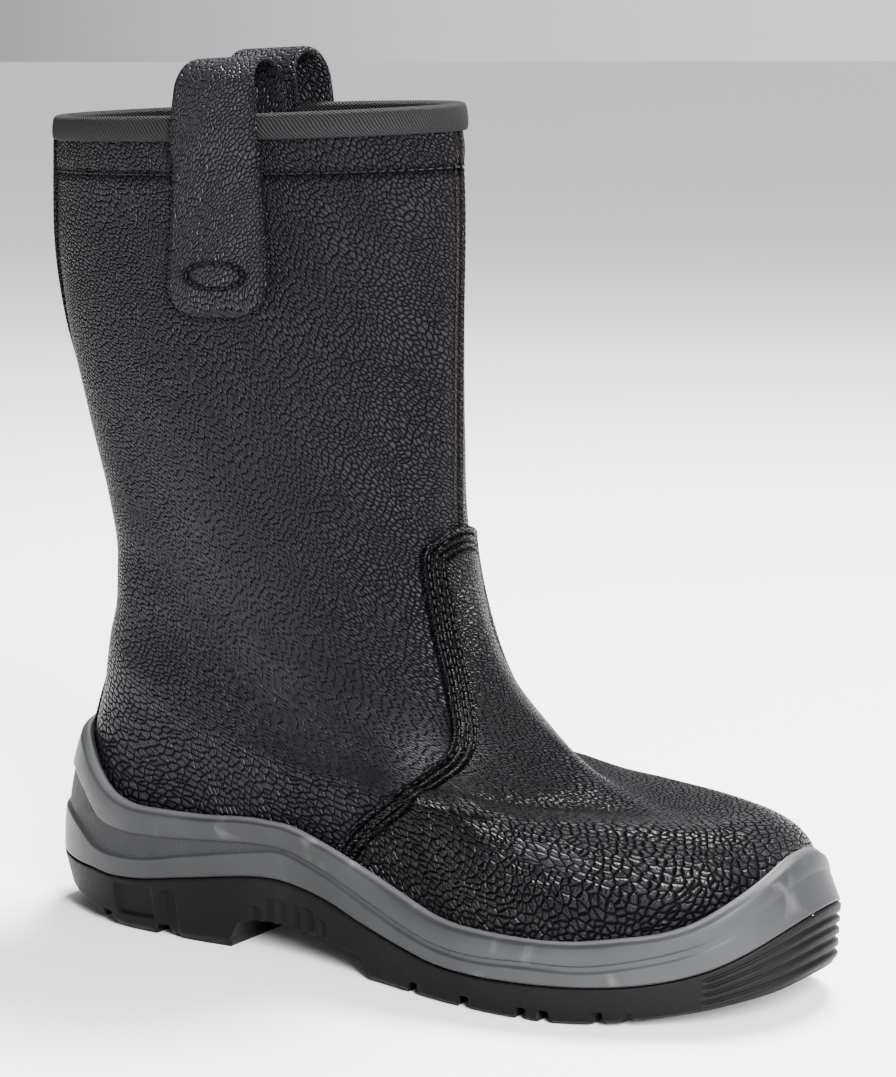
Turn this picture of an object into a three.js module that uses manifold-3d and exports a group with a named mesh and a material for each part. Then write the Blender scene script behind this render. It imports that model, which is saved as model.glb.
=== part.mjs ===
// Rigger boot for the right foot: a tall pull-on work boot with a leather leg, a vamp sewn
// over it, a rolled collar binding, two pull loops, a moulded grey midsole and a black
// cleated outsole. Millimetres, +X towards the toe, +Y towards the inside of the leg, +Z up.
// The group's origin is the centre of the boot's box, on the floor.
import * as THREE from "three";
import { mergeVertices } from "three/addons/utils/BufferGeometryUtils.js";
import Module from "manifold-3d";

const wasm = await Module();
wasm.setup();

// Driving sizes
const SOLE_LENGTH = 305;
const BALL_WIDTH = 106;
const BED_HEIGHT = 32;
const INSTEP_HEIGHT = 154;
const COLLAR_HEIGHT = 290;
const FIT_GAP = 0.3;

// Leather
const UPPER_WALL = 2.6;
const VAMP_LEATHER = 1.8;
const STRIP_LEATHER = 1.4;
const STRIP_WIDTH = 15;
const STRIP_FOOT_WIDTH = 38;
const BINDING_DEPTH = 7;
const BINDING_THICKNESS = 1.5;

// Pull loops
const LOOP_WIDTH = 36;
const LOOP_END_WIDTH = 44;
const LOOP_SWAY = 4;
const LOOP_THICKNESS = 2.4;
const LOOP_LIFT = 20;
const LOOP_SPAN = 20;
const LOOP_DROP = 66;
const LOOP_TUCK = 42;
const OUTER_LOOP_PLACE = 0.527;
const INNER_LOOP_PLACE = 0.482;

// Sole
const SOLE_LIP = 2.4;
const LIP_ROLL = 1.2;
const BAND_RECESS = 1.2;
const OUTSOLE_WRAP = 3;
const LUG_DEPTH = 4.5;
const GROOVE_WIDTH = 4.5;
const SPINE_WIDTH = 18;
const TREAD_CHAMFER = 1.5;
const SIDE_CUT = 1.2;
const INSOLE_THICKNESS = 4;

// How finely the curved forms are cut, and how thin a sliver is dropped
const AROUND = 42;
const UPPER_BANDS = 20;
const SLIVER = 0.05;
const HALF_TURN = Math.PI;

// Sections of the upper, a row for each level from the feather line to the collar. The x of
// the toe or shin (front) and of the heel or calf (back) are shares of the sole's length.
// Heights count 0 at the foot-bed, 1 at the instep and 2 at the collar. Sag lowers the ball of
// the foot, as a share of the bed's height, and lean raises the inner side, per width.
const UPPER_LINES = [
  { frontX: 0.961, frontZ: -0.033, backX: 0.056, backZ: 0.016, sag: 0.28, lean: 0 },
  { frontX: 0.968, frontZ: 0.052, backX: 0.047, backZ: 0.098, sag: 0.16, lean: 0 },
  { frontX: 0.964, frontZ: 0.137, backX: 0.045, backZ: 0.197, sag: 0.06, lean: 0 },
  { frontX: 0.944, frontZ: 0.198, backX: 0.049, backZ: 0.287, sag: 0, lean: 0 },
  { frontX: 0.906, frontZ: 0.23, backX: 0.058, backZ: 0.369, sag: 0, lean: 0 },
  { frontX: 0.833, frontZ: 0.226, backX: 0.069, backZ: 0.451, sag: 0, lean: 0 },
  { frontX: 0.747, frontZ: 0.275, backX: 0.076, backZ: 0.533, sag: 0, lean: 0 },
  { frontX: 0.676, frontZ: 0.395, backX: 0.084, backZ: 0.615, sag: 0, lean: 0 },
  { frontX: 0.614, frontZ: 0.537, backX: 0.095, backZ: 0.713, sag: 0, lean: 0 },
  { frontX: 0.575, frontZ: 0.738, backX: 0.097, backZ: 0.836, sag: 0, lean: 0 },
  { frontX: 0.555, frontZ: 0.984, backX: 0.085, backZ: 1, sag: 0, lean: 0 },
  { frontX: 0.554, frontZ: 1.228, backX: 0.045, backZ: 1.228, sag: 0, lean: 0 },
  { frontX: 0.556, frontZ: 1.492, backX: 0.003, backZ: 1.485, sag: 0, lean: 0.02 },
  { frontX: 0.559, frontZ: 1.763, backX: -0.013, backZ: 1.743, sag: 0, lean: 0.04 },
  { frontX: 0.555, frontZ: 2.037, backX: -0.01, backZ: 2, sag: 0, lean: 0.058 },
];
// Half widths at five places along each section, as shares of half the ball width, and swing,
// the part of the foot's inward curve that is kept.
const UPPER_WIDTHS = [
  { heel: 0.61, seat: 0.645, waist: 0.625, ball: 0.885, toe: 0.69, swing: 1 },
  { heel: 0.63, seat: 0.67, waist: 0.665, ball: 0.915, toe: 0.705, swing: 1 },
  { heel: 0.63, seat: 0.68, waist: 0.69, ball: 0.895, toe: 0.67, swing: 1 },
  { heel: 0.62, seat: 0.675, waist: 0.7, ball: 0.825, toe: 0.57, swing: 1 },
  { heel: 0.61, seat: 0.665, waist: 0.7, ball: 0.725, toe: 0.43, swing: 1 },
  { heel: 0.6, seat: 0.66, waist: 0.7, ball: 0.65, toe: 0.33, swing: 1 },
  { heel: 0.59, seat: 0.655, waist: 0.705, ball: 0.64, toe: 0.325, swing: 0.9 },
  { heel: 0.58, seat: 0.655, waist: 0.71, ball: 0.645, toe: 0.345, swing: 0.7 },
  { heel: 0.56, seat: 0.66, waist: 0.72, ball: 0.65, toe: 0.37, swing: 0.5 },
  { heel: 0.54, seat: 0.665, waist: 0.735, ball: 0.66, toe: 0.385, swing: 0.3 },
  { heel: 0.51, seat: 0.66, waist: 0.74, ball: 0.655, toe: 0.375, swing: 0.1 },
  { heel: 0.44, seat: 0.63, waist: 0.715, ball: 0.62, toe: 0.34, swing: 0 },
  { heel: 0.34, seat: 0.55, waist: 0.645, ball: 0.55, toe: 0.3, swing: 0 },
  { heel: 0.28, seat: 0.47, waist: 0.555, ball: 0.47, toe: 0.27, swing: 0 },
  { heel: 0.26, seat: 0.43, waist: 0.495, ball: 0.43, toe: 0.26, swing: 0 },
];
const TOP_LEVEL = UPPER_LINES.length - 1;
const WIDTH_PLACES = [
  { width: "heel", along: 0.08 },
  { width: "seat", along: 0.25 },
  { width: "waist", along: 0.5 },
  { width: "ball", along: 0.75 },
  { width: "toe", along: 0.92 },
];

// The sole's widest outline: half widths and the middle's drift to the inside, as shares of
// half the ball width, at shares of the sole's length.
const SOLE_OUTLINE = [
  { along: 0.065, half: 0.63, centre: 0 },
  { along: 0.15, half: 0.77, centre: 0 },
  { along: 0.26, half: 0.765, centre: -0.02 },
  { along: 0.385, half: 0.69, centre: -0.07 },
  { along: 0.515, half: 0.74, centre: -0.085 },
  { along: 0.645, half: 0.915, centre: -0.05 },
  { along: 0.745, half: 1, centre: 0.02 },
  { along: 0.835, half: 0.93, centre: 0.1 },
  { along: 0.905, half: 0.78, centre: 0.165 },
  { along: 0.965, half: 0.52, centre: 0.21 },
];

// Heights on the sole's side. The joint between outsole and midsole and the lower and upper
// edge of the recessed band are shares of the bed's height; the midsole's lip counts as the
// upper's sections do.
const SOLE_SIDE = [
  { along: 0, joint: 0.672, bandLow: 1.219, bandHigh: 1.719, lip: 0.3237, recess: 1 },
  { along: 0.05, joint: 0.672, bandLow: 1.203, bandHigh: 1.672, lip: 0.2746, recess: 1 },
  { along: 0.08, joint: 0.662, bandLow: 1.094, bandHigh: 1.5, lip: 0.2172, recess: 1 },
  { along: 0.11, joint: 0.65, bandLow: 0.931, bandHigh: 1.266, lip: 0.1597, recess: 1 },
  { along: 0.14, joint: 0.619, bandLow: 0.875, bandHigh: 1.188, lip: 0.1335, recess: 1 },
  { along: 0.18, joint: 0.637, bandLow: 0.884, bandHigh: 1.172, lip: 0.127, recess: 1 },
  { along: 0.26, joint: 0.756, bandLow: 1.028, bandHigh: 1.219, lip: 0.1311, recess: 1 },
  { along: 0.35, joint: 0.881, bandLow: 1.181, bandHigh: 1.284, lip: 0.1492, recess: 1 },
  { along: 0.385, joint: 0.9, bandLow: 1.234, bandHigh: 1.291, lip: 0.1492, recess: 0.8 },
  { along: 0.45, joint: 0.803, bandLow: 1.081, bandHigh: 1.144, lip: 0.113, recess: 0.6 },
  { along: 0.51, joint: 0.613, bandLow: 0.85, bandHigh: 0.919, lip: 0.0574, recess: 0.6 },
  { along: 0.57, joint: 0.475, bandLow: 0.662, bandHigh: 0.731, lip: 0.0058, recess: 0.6 },
  { along: 0.62, joint: 0.394, bandLow: 0.562, bandHigh: 0.625, lip: -0.0278, recess: 0.6 },
  { along: 0.67, joint: 0.372, bandLow: 0.531, bandHigh: 0.594, lip: -0.0378, recess: 0.6 },
  { along: 0.74, joint: 0.388, bandLow: 0.566, bandHigh: 0.631, lip: -0.0378, recess: 0.6 },
  { along: 0.81, joint: 0.409, bandLow: 0.575, bandHigh: 0.644, lip: -0.0328, recess: 0.6 },
  { along: 0.86, joint: 0.456, bandLow: 0.656, bandHigh: 0.725, lip: -0.0163, recess: 0.6 },
  { along: 0.9, joint: 0.535, bandLow: 0.75, bandHigh: 0.82, lip: 0, recess: 0.6 },
  { along: 0.93, joint: 0.637, bandLow: 0.86, bandHigh: 0.93, lip: 0.0289, recess: 0.3 },
  { along: 0.96, joint: 0.8, bandLow: 1.03, bandHigh: 1.12, lip: 0.0813, recess: 0 },
  { along: 1, joint: 1.1, bandLow: 1.3, bandHigh: 1.43, lip: 0.1705, recess: 0 },
];

// The outsole's underside: its height above the floor as a share of the bed's height, and how
// far its edge draws in towards the floor, as a share of half the ball width.
const SOLE_TREAD = [
  { along: 0, ground: 0.3, taper: 0.05 },
  { along: 0.05, ground: 0.23, taper: 0.06 },
  { along: 0.1, ground: 0.11, taper: 0.07 },
  { along: 0.14, ground: 0.015, taper: 0.07 },
  { along: 0.16, ground: 0, taper: 0.07 },
  { along: 0.33, ground: 0, taper: 0.07 },
  { along: 0.42, ground: 0, taper: 0.03 },
  { along: 0.52, ground: 0, taper: 0.01 },
  { along: 0.76, ground: 0, taper: 0.01 },
  { along: 0.83, ground: 0.04, taper: 0.015 },
  { along: 0.88, ground: 0.11, taper: 0.02 },
  { along: 0.92, ground: 0.18, taper: 0.02 },
  { along: 0.95, ground: 0.25, taper: 0.02 },
  { along: 0.98, ground: 0.33, taper: 0.02 },
  { along: 1, ground: 0.42, taper: 0.02 },
];
// Where the midsole sits down inside the outsole, as a share of the bed's height.
const SOLE_NEST = [
  { along: 0, height: 0.5 },
  { along: 0.15, height: 0.36 },
  { along: 0.3, height: 0.5 },
  { along: 0.4, height: 0.54 },
  { along: 0.5, height: 0.42 },
  { along: 0.6, height: 0.27 },
  { along: 0.77, height: 0.27 },
  { along: 0.86, height: 0.32 },
  { along: 0.93, height: 0.46 },
  { along: 1, height: 0.8 },
];
// The arch between the heel's breast and the first lug, in side view.
const ARCH = [
  { along: 0.305, height: -0.1 },
  { along: 0.31, height: 0.1 },
  { along: 0.322, height: 0.3 },
  { along: 0.34, height: 0.37 },
  { along: 0.37, height: 0.39 },
  { along: 0.405, height: 0.4 },
  { along: 0.45, height: 0.35 },
  { along: 0.485, height: 0.3 },
  { along: 0.51, height: 0.24 },
  { along: 0.519, height: 0.18 },
  { along: 0.522, height: -0.1 },
];
// Grooves that part the lugs: place along the sole, width as a share of the groove width,
// how far the cut climbs as a share of the lug depth, and its slant in degrees.
const LUG_GROOVES = [
  { along: 0.128, wide: 1.1, deep: 1, slant: 0 },
  { along: 0.213, wide: 1.4, deep: 1, slant: 0 },
  { along: 0.569, wide: 1, deep: 1, slant: 8 },
  { along: 0.64, wide: 1, deep: 1, slant: 8 },
  { along: 0.724, wide: 1, deep: 1, slant: 4 },
  { along: 0.762, wide: 1, deep: 1, slant: 0 },
  { along: 0.841, wide: 0.9, deep: 1, slant: -8 },
  { along: 0.886, wide: 0.7, deep: 0.8, slant: -14 },
];
// Shallow cuts in the outsole's side, between two places along the sole. Low and high are
// shares of the way from the tread up to the joint: the heel's panel and channel, six cells
// between the ribs of the arch, and three grooves round the toe.
const SIDE_CUTS = [
  { from: 0.148, to: 0.203, low: 0.32, high: 0.86 },
  { from: 0.22, to: 0.238, low: -0.2, high: 0.8 },
  { from: 0.343, to: 0.356, low: -0.2, high: 0.62 },
  { from: 0.363, to: 0.377, low: -0.2, high: 0.73 },
  { from: 0.384, to: 0.398, low: -0.2, high: 0.76 },
  { from: 0.405, to: 0.419, low: -0.2, high: 0.77 },
  { from: 0.426, to: 0.439, low: -0.2, high: 0.76 },
  { from: 0.446, to: 0.458, low: -0.2, high: 0.7 },
  { from: 0.92, to: 1.05, low: 0.2, high: 0.3 },
  { from: 0.92, to: 1.05, low: 0.45, high: 0.55 },
  { from: 0.92, to: 1.05, low: 0.7, high: 0.8 },
];
// The vamp's edge on the side of the leg, from the shin down to the sole: x as a share of the
// sole's length, height as in the sections.
const VAMP_EDGE = [
  { x: 0.59, height: 1.022 },
  { x: 0.562, height: 1.007 },
  { x: 0.553, height: 0.988 },
  { x: 0.545, height: 0.967 },
  { x: 0.537, height: 0.941 },
  { x: 0.535, height: 0.91 },
  { x: 0.537, height: 0.87 },
  { x: 0.547, height: 0.764 },
  { x: 0.56, height: 0.655 },
  { x: 0.582, height: 0.512 },
  { x: 0.595, height: 0.439 },
  { x: 0.597, height: 0.407 },
  { x: 0.589, height: 0.37 },
  { x: 0.558, height: 0.301 },
  { x: 0.529, height: 0.246 },
  { x: 0.5, height: 0.188 },
  { x: 0.471, height: 0.104 },
  { x: 0.433, height: -0.1 },
];

// A smooth curve through points. Its slopes come from the neighbours, level at a peak or next
// to a flat stretch, and it runs on straight past both ends.
function curveThrough(xs, ys) {
  const last = xs.length - 1;
  const rise = (i) => (ys[i + 1] - ys[i]) / (xs[i + 1] - xs[i]);
  const slopes = xs.map((_, i) => {
    const before = rise(Math.max(0, i - 1));
    const after = rise(Math.min(last - 1, i));
    return before * after > 0 ? (before + after) / 2 : 0;
  });
  return (x) => {
    let i = 0;
    while (i < last - 1 && x > xs[i + 1]) i += 1;
    const span = xs[i + 1] - xs[i];
    const t = (x - xs[i]) / span;
    if (t < 0) return ys[0] + (x - xs[0]) * slopes[0];
    if (t > 1) return ys[last] + (x - xs[last]) * slopes[last];
    const ease = t * t * (3 - 2 * t);
    const leave = t * (1 - t) * (1 - t);
    const arrive = t * t * (t - 1);
    return ys[i] + (ys[i + 1] - ys[i]) * ease + span * (slopes[i] * leave + slopes[i + 1] * arrive);
  };
}
function columnCurve(rows, name, key) {
  return curveThrough(rows.map((row) => row[key]), rows.map((row) => row[name]));
}

// Half the chord of a circle at a share of its diameter, which rounds the ends of a section.
function roundEnd(share) {
  return 2 * Math.sqrt(share * (1 - share));
}
function alongOf(theta) {
  return 0.5 - 0.5 * Math.cos(theta);
}
function legHeight(share) {
  if (share < 1) return THREE.MathUtils.lerp(BED_HEIGHT, INSTEP_HEIGHT, share);
  return THREE.MathUtils.lerp(INSTEP_HEIGHT, COLLAR_HEIGHT, share - 1);
}

const sections = UPPER_LINES.map((row, level) => ({
  ...row,
  ...UPPER_WIDTHS[level],
  level,
  frontX: row.frontX * SOLE_LENGTH,
  backX: row.backX * SOLE_LENGTH,
  frontZ: legHeight(row.frontZ),
  backZ: legHeight(row.backZ),
}));
const section = {};
for (const name of Object.keys(sections[0])) section[name] = columnCurve(sections, name, "level");

const HALF_BALL = BALL_WIDTH / 2;
const soleCentre = columnCurve(SOLE_OUTLINE, "centre", "along");
const soleFullness = curveThrough(
  SOLE_OUTLINE.map((row) => row.along),
  SOLE_OUTLINE.map((row) => row.half / roundEnd(row.along)),
);
function upperFullness(level) {
  return curveThrough(
    WIDTH_PLACES.map((row) => row.along),
    WIDTH_PLACES.map((row) => section[row.width](level) / roundEnd(row.along)),
  );
}

// A point of the upper's outer surface. Theta runs from the heel round the outer side to the
// toe and back round the inner side; level counts the sections up from the feather line.
function upperSurface(theta, level) {
  const along = alongOf(theta);
  const x = THREE.MathUtils.lerp(section.backX(level), section.frontX(level), along);
  const z = THREE.MathUtils.lerp(section.backZ(level), section.frontZ(level), along);
  const half = HALF_BALL * upperFullness(level)(along) * Math.sin(theta);
  const drift = HALF_BALL * section.swing(level) * soleCentre(x / SOLE_LENGTH);
  const droop = BED_HEIGHT * section.sag(level) * Math.sin(HALF_TURN * along * along) ** 2;
  return new THREE.Vector3(x, drift - half, z - droop - half * section.lean(level));
}
// The same point moved out along the surface's normal.
function upperPoint(theta, level, out) {
  const step = 0.01;
  const point = upperSurface(theta, level);
  const around = upperSurface(theta + step, level).sub(upperSurface(theta - step, level));
  const upwards = upperSurface(theta, level + step).sub(upperSurface(theta, level - step));
  return point.addScaledVector(around.cross(upwards).normalize(), out);
}
function ring(pointAt) {
  return Array.from({ length: AROUND }, (_, k) => pointAt((2 * HALF_TURN * k) / AROUND));
}
function upperRing(level, out) {
  return ring((theta) => upperPoint(theta, level, out));
}

// A solid through rings of equal count. Its ends are joined to each other, or laced across
// between the two sides of each ring: of a ring with poles at both ends, or of a flat one.
function ringSolid(rings, ends) {
  const count = rings[0].length;
  const index = [];
  const quad = (a, b, c, d) => {
    if (a !== b && b !== c && c !== a) index.push(a, b, c);
    if (a !== c && c !== d && d !== a) index.push(a, c, d);
  };
  const bands = ends === "joined" ? rings.length : rings.length - 1;
  for (let i = 0; i < bands; i += 1) {
    const low = i * count;
    const high = ((i + 1) % rings.length) * count;
    for (let k = 0; k < count; k += 1) {
      const next = (k + 1) % count;
      quad(low + k, low + next, high + next, high + k);
    }
  }
  if (ends !== "joined") {
    const top = (rings.length - 1) * count;
    const turn = ends === "poles" ? count : count - 1;
    for (let k = 0; 2 * k < turn - 1; k += 1) {
      const across = (turn - k) % count;
      const acrossNext = turn - k - 1;
      quad(top + k, top + k + 1, top + acrossNext, top + across);
      quad(across, acrossNext, k + 1, k);
    }
  }
  const geometry = new THREE.BufferGeometry().setFromPoints(rings.flat());
  geometry.setIndex(index);
  return geometry;
}

// A filled form between two levels of the upper, moved out. Its underside can be let down.
const BAND = TOP_LEVEL / UPPER_BANDS;
function legForm(out, fromBand, toBand, letDown = 0) {
  const rings = [];
  for (let band = fromBand; band <= toBand; band += 1) rings.push(upperRing(band * BAND, out));
  for (const point of rings[0]) point.z -= letDown;
  return solid(ringSolid(rings, "poles"));
}

// Between three.js geometry and closed solids that can be joined and cut.
function solid(geometry) {
  const bare = new THREE.BufferGeometry();
  bare.setAttribute("position", geometry.getAttribute("position"));
  bare.setIndex(geometry.getIndex());
  const merged = mergeVertices(bare, 1e-4);
  return new wasm.Manifold(
    new wasm.Mesh({
      numProp: 3,
      vertProperties: Float32Array.from(merged.getAttribute("position").array),
      triVerts: Uint32Array.from(merged.getIndex().array),
    }),
  );
}
function skin(body) {
  const mesh = body.simplify(SLIVER).getMesh();
  const geometry = new THREE.BufferGeometry();
  geometry.setAttribute("position", new THREE.BufferAttribute(mesh.vertProperties, 3));
  geometry.setIndex(new THREE.BufferAttribute(mesh.triVerts, 1));
  return geometry;
}

// Upper: the leather leg and foot, one wall, open at the collar and underneath.
function upperWall() {
  const outside = [];
  const inside = [];
  for (let band = 0; band <= UPPER_BANDS; band += 1) {
    outside.push(upperRing(band * BAND, 0));
    inside.unshift(upperRing(band * BAND, -UPPER_WALL));
  }
  return ringSolid([...outside, ...inside], "joined");
}

// A leather layer over the upper, between two forms of it, kept where a prism lets it be.
function layer(leather, topBand, region) {
  const outer = legForm(FIT_GAP + leather, 0, topBand);
  const inner = legForm(FIT_GAP, -1, topBand + 1);
  return outer.subtract(inner).intersect(region);
}
function prism(points, depth) {
  const shape = new THREE.Shape(points);
  const geometry = new THREE.ExtrudeGeometry(shape, { depth, bevelEnabled: false });
  return geometry.translate(0, 0, -depth / 2);
}

// Vamp: the overlay of the foot, with its tip on the shin and its sides down to the sole.
const VAMP_TOP_BAND = Math.ceil(12 / BAND);
function vampRegion(shift) {
  const edge = new THREE.SplineCurve(
    VAMP_EDGE.map((row) => new THREE.Vector2(row.x * SOLE_LENGTH - shift, legHeight(row.height))),
  );
  const points = edge.getPoints(2 * VAMP_EDGE.length);
  const clear = 1.2 * SOLE_LENGTH;
  points.push(new THREE.Vector2(points.at(-1).x, -BED_HEIGHT));
  points.push(new THREE.Vector2(clear, -BED_HEIGHT));
  points.push(new THREE.Vector2(clear, points[0].y));
  return solid(prism(points, 2 * BALL_WIDTH).rotateX(HALF_TURN / 2));
}

// Back strip: it covers the heel seam from the binding to the sole and widens below.
function stripRegion(grow) {
  const top = COLLAR_HEIGHT - BINDING_DEPTH - FIT_GAP + grow;
  const upperHalf = STRIP_WIDTH / 2 + grow;
  const footHalf = STRIP_FOOT_WIDTH / 2 + grow;
  const half = curveThrough(
    [0, BED_HEIGHT, INSTEP_HEIGHT, COLLAR_HEIGHT],
    [footHalf, footHalf, upperHalf, upperHalf],
  );
  const side = [];
  const steps = 12;
  for (let i = 0; i <= steps; i += 1) {
    const z = (top * i) / steps;
    side.push(new THREE.Vector2(half(z), z));
  }
  const mirrored = side.map((point) => new THREE.Vector2(-point.x, point.y)).reverse();
  const reach = SOLE_LENGTH / 2;
  const region = prism([...side, ...mirrored], reach).rotateX(HALF_TURN / 2).rotateZ(HALF_TURN / 2);
  return solid(region.translate(SOLE_LENGTH / 10 - reach / 2, 0, 0));
}

// Collar binding: a folded strip round the rim, an outer leg, a crown and an inner leg.
const TOP_PITCH = sections[TOP_LEVEL].backZ - sections[TOP_LEVEL - 1].backZ;
function collarPoint(theta, rise, out) {
  return upperPoint(theta, TOP_LEVEL + rise / TOP_PITCH, out);
}
function bindingRing() {
  const face = FIT_GAP + BINDING_THICKNESS;
  const lining = -UPPER_WALL - FIT_GAP;
  const profile = [
    { rise: -BINDING_DEPTH, out: face },
    { rise: 0, out: face },
    { rise: 0.7 * face, out: 0.6 * face },
    { rise: face, out: 0 },
    { rise: face, out: -UPPER_WALL },
    { rise: 0.7 * face, out: -UPPER_WALL - 0.6 * face },
    { rise: 0, out: lining - BINDING_THICKNESS },
    { rise: -BINDING_DEPTH, out: lining - BINDING_THICKNESS },
    { rise: -BINDING_DEPTH, out: lining },
    { rise: FIT_GAP, out: lining },
    { rise: FIT_GAP, out: FIT_GAP },
    { rise: -BINDING_DEPTH, out: FIT_GAP },
  ];
  const rings = profile.map(({ rise, out }) => ring((theta) => collarPoint(theta, rise, out)));
  return ringSolid(rings, "joined");
}

// Pull loops: a strap sewn to the leg, lifted over the rim in an arch and tucked inside. Its
// way is told by drop down the leg, lift above the rim and tuck inside, each a share of its
// size, by what it lies on, and by the share of its width.
const LOOP_PATH = [
  { drop: 1, lift: 0, tuck: 0, on: "leather", width: 0.42 },
  { drop: 0.96, lift: 0, tuck: 0, on: "leather", width: 0.76 },
  { drop: 0.88, lift: 0, tuck: 0, on: "leather", width: 0.96 },
  { drop: 0.75, lift: 0, tuck: 0, on: "leather", width: 1 },
  { drop: 0.5, lift: 0, tuck: 0, on: "leather", width: 1 },
  { drop: 0.25, lift: 0, tuck: 0, on: "leather", width: 1 },
  { drop: 0.12, lift: 0, tuck: 0, on: "binding", width: 1 },
  { drop: 0, lift: 0, tuck: 0, on: "binding", width: 1 },
  { drop: 0, lift: 0.5, tuck: 0, on: "binding", width: 0.95 },
  { drop: 0, lift: 0.86, tuck: 0, on: "shoulder", width: 0.88 },
  { drop: 0, lift: 1, tuck: 0, on: "crown", width: 0.86 },
  { drop: 0, lift: 0.86, tuck: 0, on: "hollow", width: 0.88 },
  { drop: 0, lift: 0.5, tuck: 0, on: "span", width: 0.95 },
  { drop: 0, lift: 0, tuck: 0, on: "span", width: 1 },
  { drop: 0, lift: 0, tuck: 0.3, on: "hollow", width: 1 },
  { drop: 0, lift: 0, tuck: 0.65, on: "lining", width: 1 },
  { drop: 0, lift: 0, tuck: 1, on: "lining", width: 0.8 },
];
function loopSeat() {
  const half = LOOP_THICKNESS / 2;
  const binding = 2 * FIT_GAP + BINDING_THICKNESS + half;
  return {
    leather: FIT_GAP + half,
    binding,
    shoulder: binding - 0.15 * LOOP_SPAN,
    crown: binding - 0.5 * LOOP_SPAN,
    hollow: binding - 0.85 * LOOP_SPAN,
    span: binding - LOOP_SPAN,
    lining: -UPPER_WALL - FIT_GAP - half,
  };
}
function pullLoop(inner) {
  const seat = loopSeat();
  const collarPlace = inner ? INNER_LOOP_PLACE : OUTER_LOOP_PLACE;
  const centre = THREE.MathUtils.lerp(section.backX(TOP_LEVEL), section.frontX(TOP_LEVEL), collarPlace);
  const places = LOOP_PATH.map((_, i) => i);
  const rise = curveThrough(
    places,
    LOOP_PATH.map((row) => row.lift * LOOP_LIFT - row.drop * LOOP_DROP - row.tuck * LOOP_TUCK),
  );
  const out = curveThrough(places, LOOP_PATH.map((row) => seat[row.on]));
  const width = curveThrough(
    places,
    LOOP_PATH.map((row) => row.width * THREE.MathUtils.lerp(LOOP_WIDTH, LOOP_END_WIDTH, row.drop)),
  );
  const sway = curveThrough(places, LOOP_PATH.map((row) => row.drop * LOOP_SWAY));
  const acrossCount = 5;
  const rings = [];
  for (let at = 0; at <= LOOP_PATH.length - 1; at += 0.5) {
    const upwards = rise(at + 0.01) - rise(at - 0.01);
    const outwards = out(at + 0.01) - out(at - 0.01);
    const along = new THREE.Vector2(upwards, outwards).normalize();
    const face = (share, thick) => {
      const r = rise(at) - (along.y * thick) / 2;
      const o = out(at) + (along.x * thick) / 2;
      const level = TOP_LEVEL + r / TOP_PITCH;
      const x = centre + sway(at) + (inner ? -1 : 1) * share * (width(at) / 2);
      const place = (x - section.backX(level)) / (section.frontX(level) - section.backX(level));
      const theta = Math.acos(1 - 2 * place);
      return collarPoint(inner ? 2 * HALF_TURN - theta : theta, r, o);
    };
    const shares = Array.from({ length: acrossCount }, (_, j) => (2 * j) / (acrossCount - 1) - 1);
    rings.push([
      ...shares.map((share) => face(share, LOOP_THICKNESS)),
      ...shares.reverse().map((share) => face(share, -LOOP_THICKNESS)),
    ]);
  }
  return ringSolid(rings, "flat");
}

// Sole outline in plan, moved out.
function solePoint(theta, out) {
  const step = 0.01;
  const outline = (angle) => {
    const along = alongOf(angle);
    const y = HALF_BALL * (soleCentre(along) - soleFullness(along) * Math.sin(angle));
    return new THREE.Vector3(SOLE_LENGTH * along, y, 0);
  };
  const tangent = outline(theta + step).sub(outline(theta - step)).normalize();
  return outline(theta).addScaledVector(new THREE.Vector3(tangent.y, -tangent.x, 0), out);
}
const side = {};
for (const name of ["joint", "bandLow", "bandHigh", "lip"]) {
  const curve = columnCurve(SOLE_SIDE, name, "along");
  side[name] = (along) => (name === "lip" ? legHeight(curve(along)) : BED_HEIGHT * curve(along));
}
const groundShare = columnCurve(SOLE_TREAD, "ground", "along");
const taperShare = columnCurve(SOLE_TREAD, "taper", "along");
const nestShare = columnCurve(SOLE_NEST, "height", "along");
const ground = (along) => BED_HEIGHT * Math.max(0, groundShare(along));
function soleRing(out, height) {
  return ring((theta) => solePoint(theta, out(alongOf(theta))).setZ(height(alongOf(theta))));
}

// The part of the midsole that sits down in the outsole, and the hollow it leaves there. It
// draws in below as the outsole's side does, so the wrap keeps its thickness.
const taper = (along) => HALF_BALL * taperShare(along);
function nest(grow) {
  return solid(
    ringSolid(
      [
        soleRing(
          (along) => grow - OUTSOLE_WRAP - taper(along),
          (along) => BED_HEIGHT * nestShare(along) - grow,
        ),
        soleRing(
          () => grow - OUTSOLE_WRAP,
          (along) => side.joint(along) + OUTSOLE_WRAP,
        ),
      ],
      "poles",
    ),
  );
}

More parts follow.
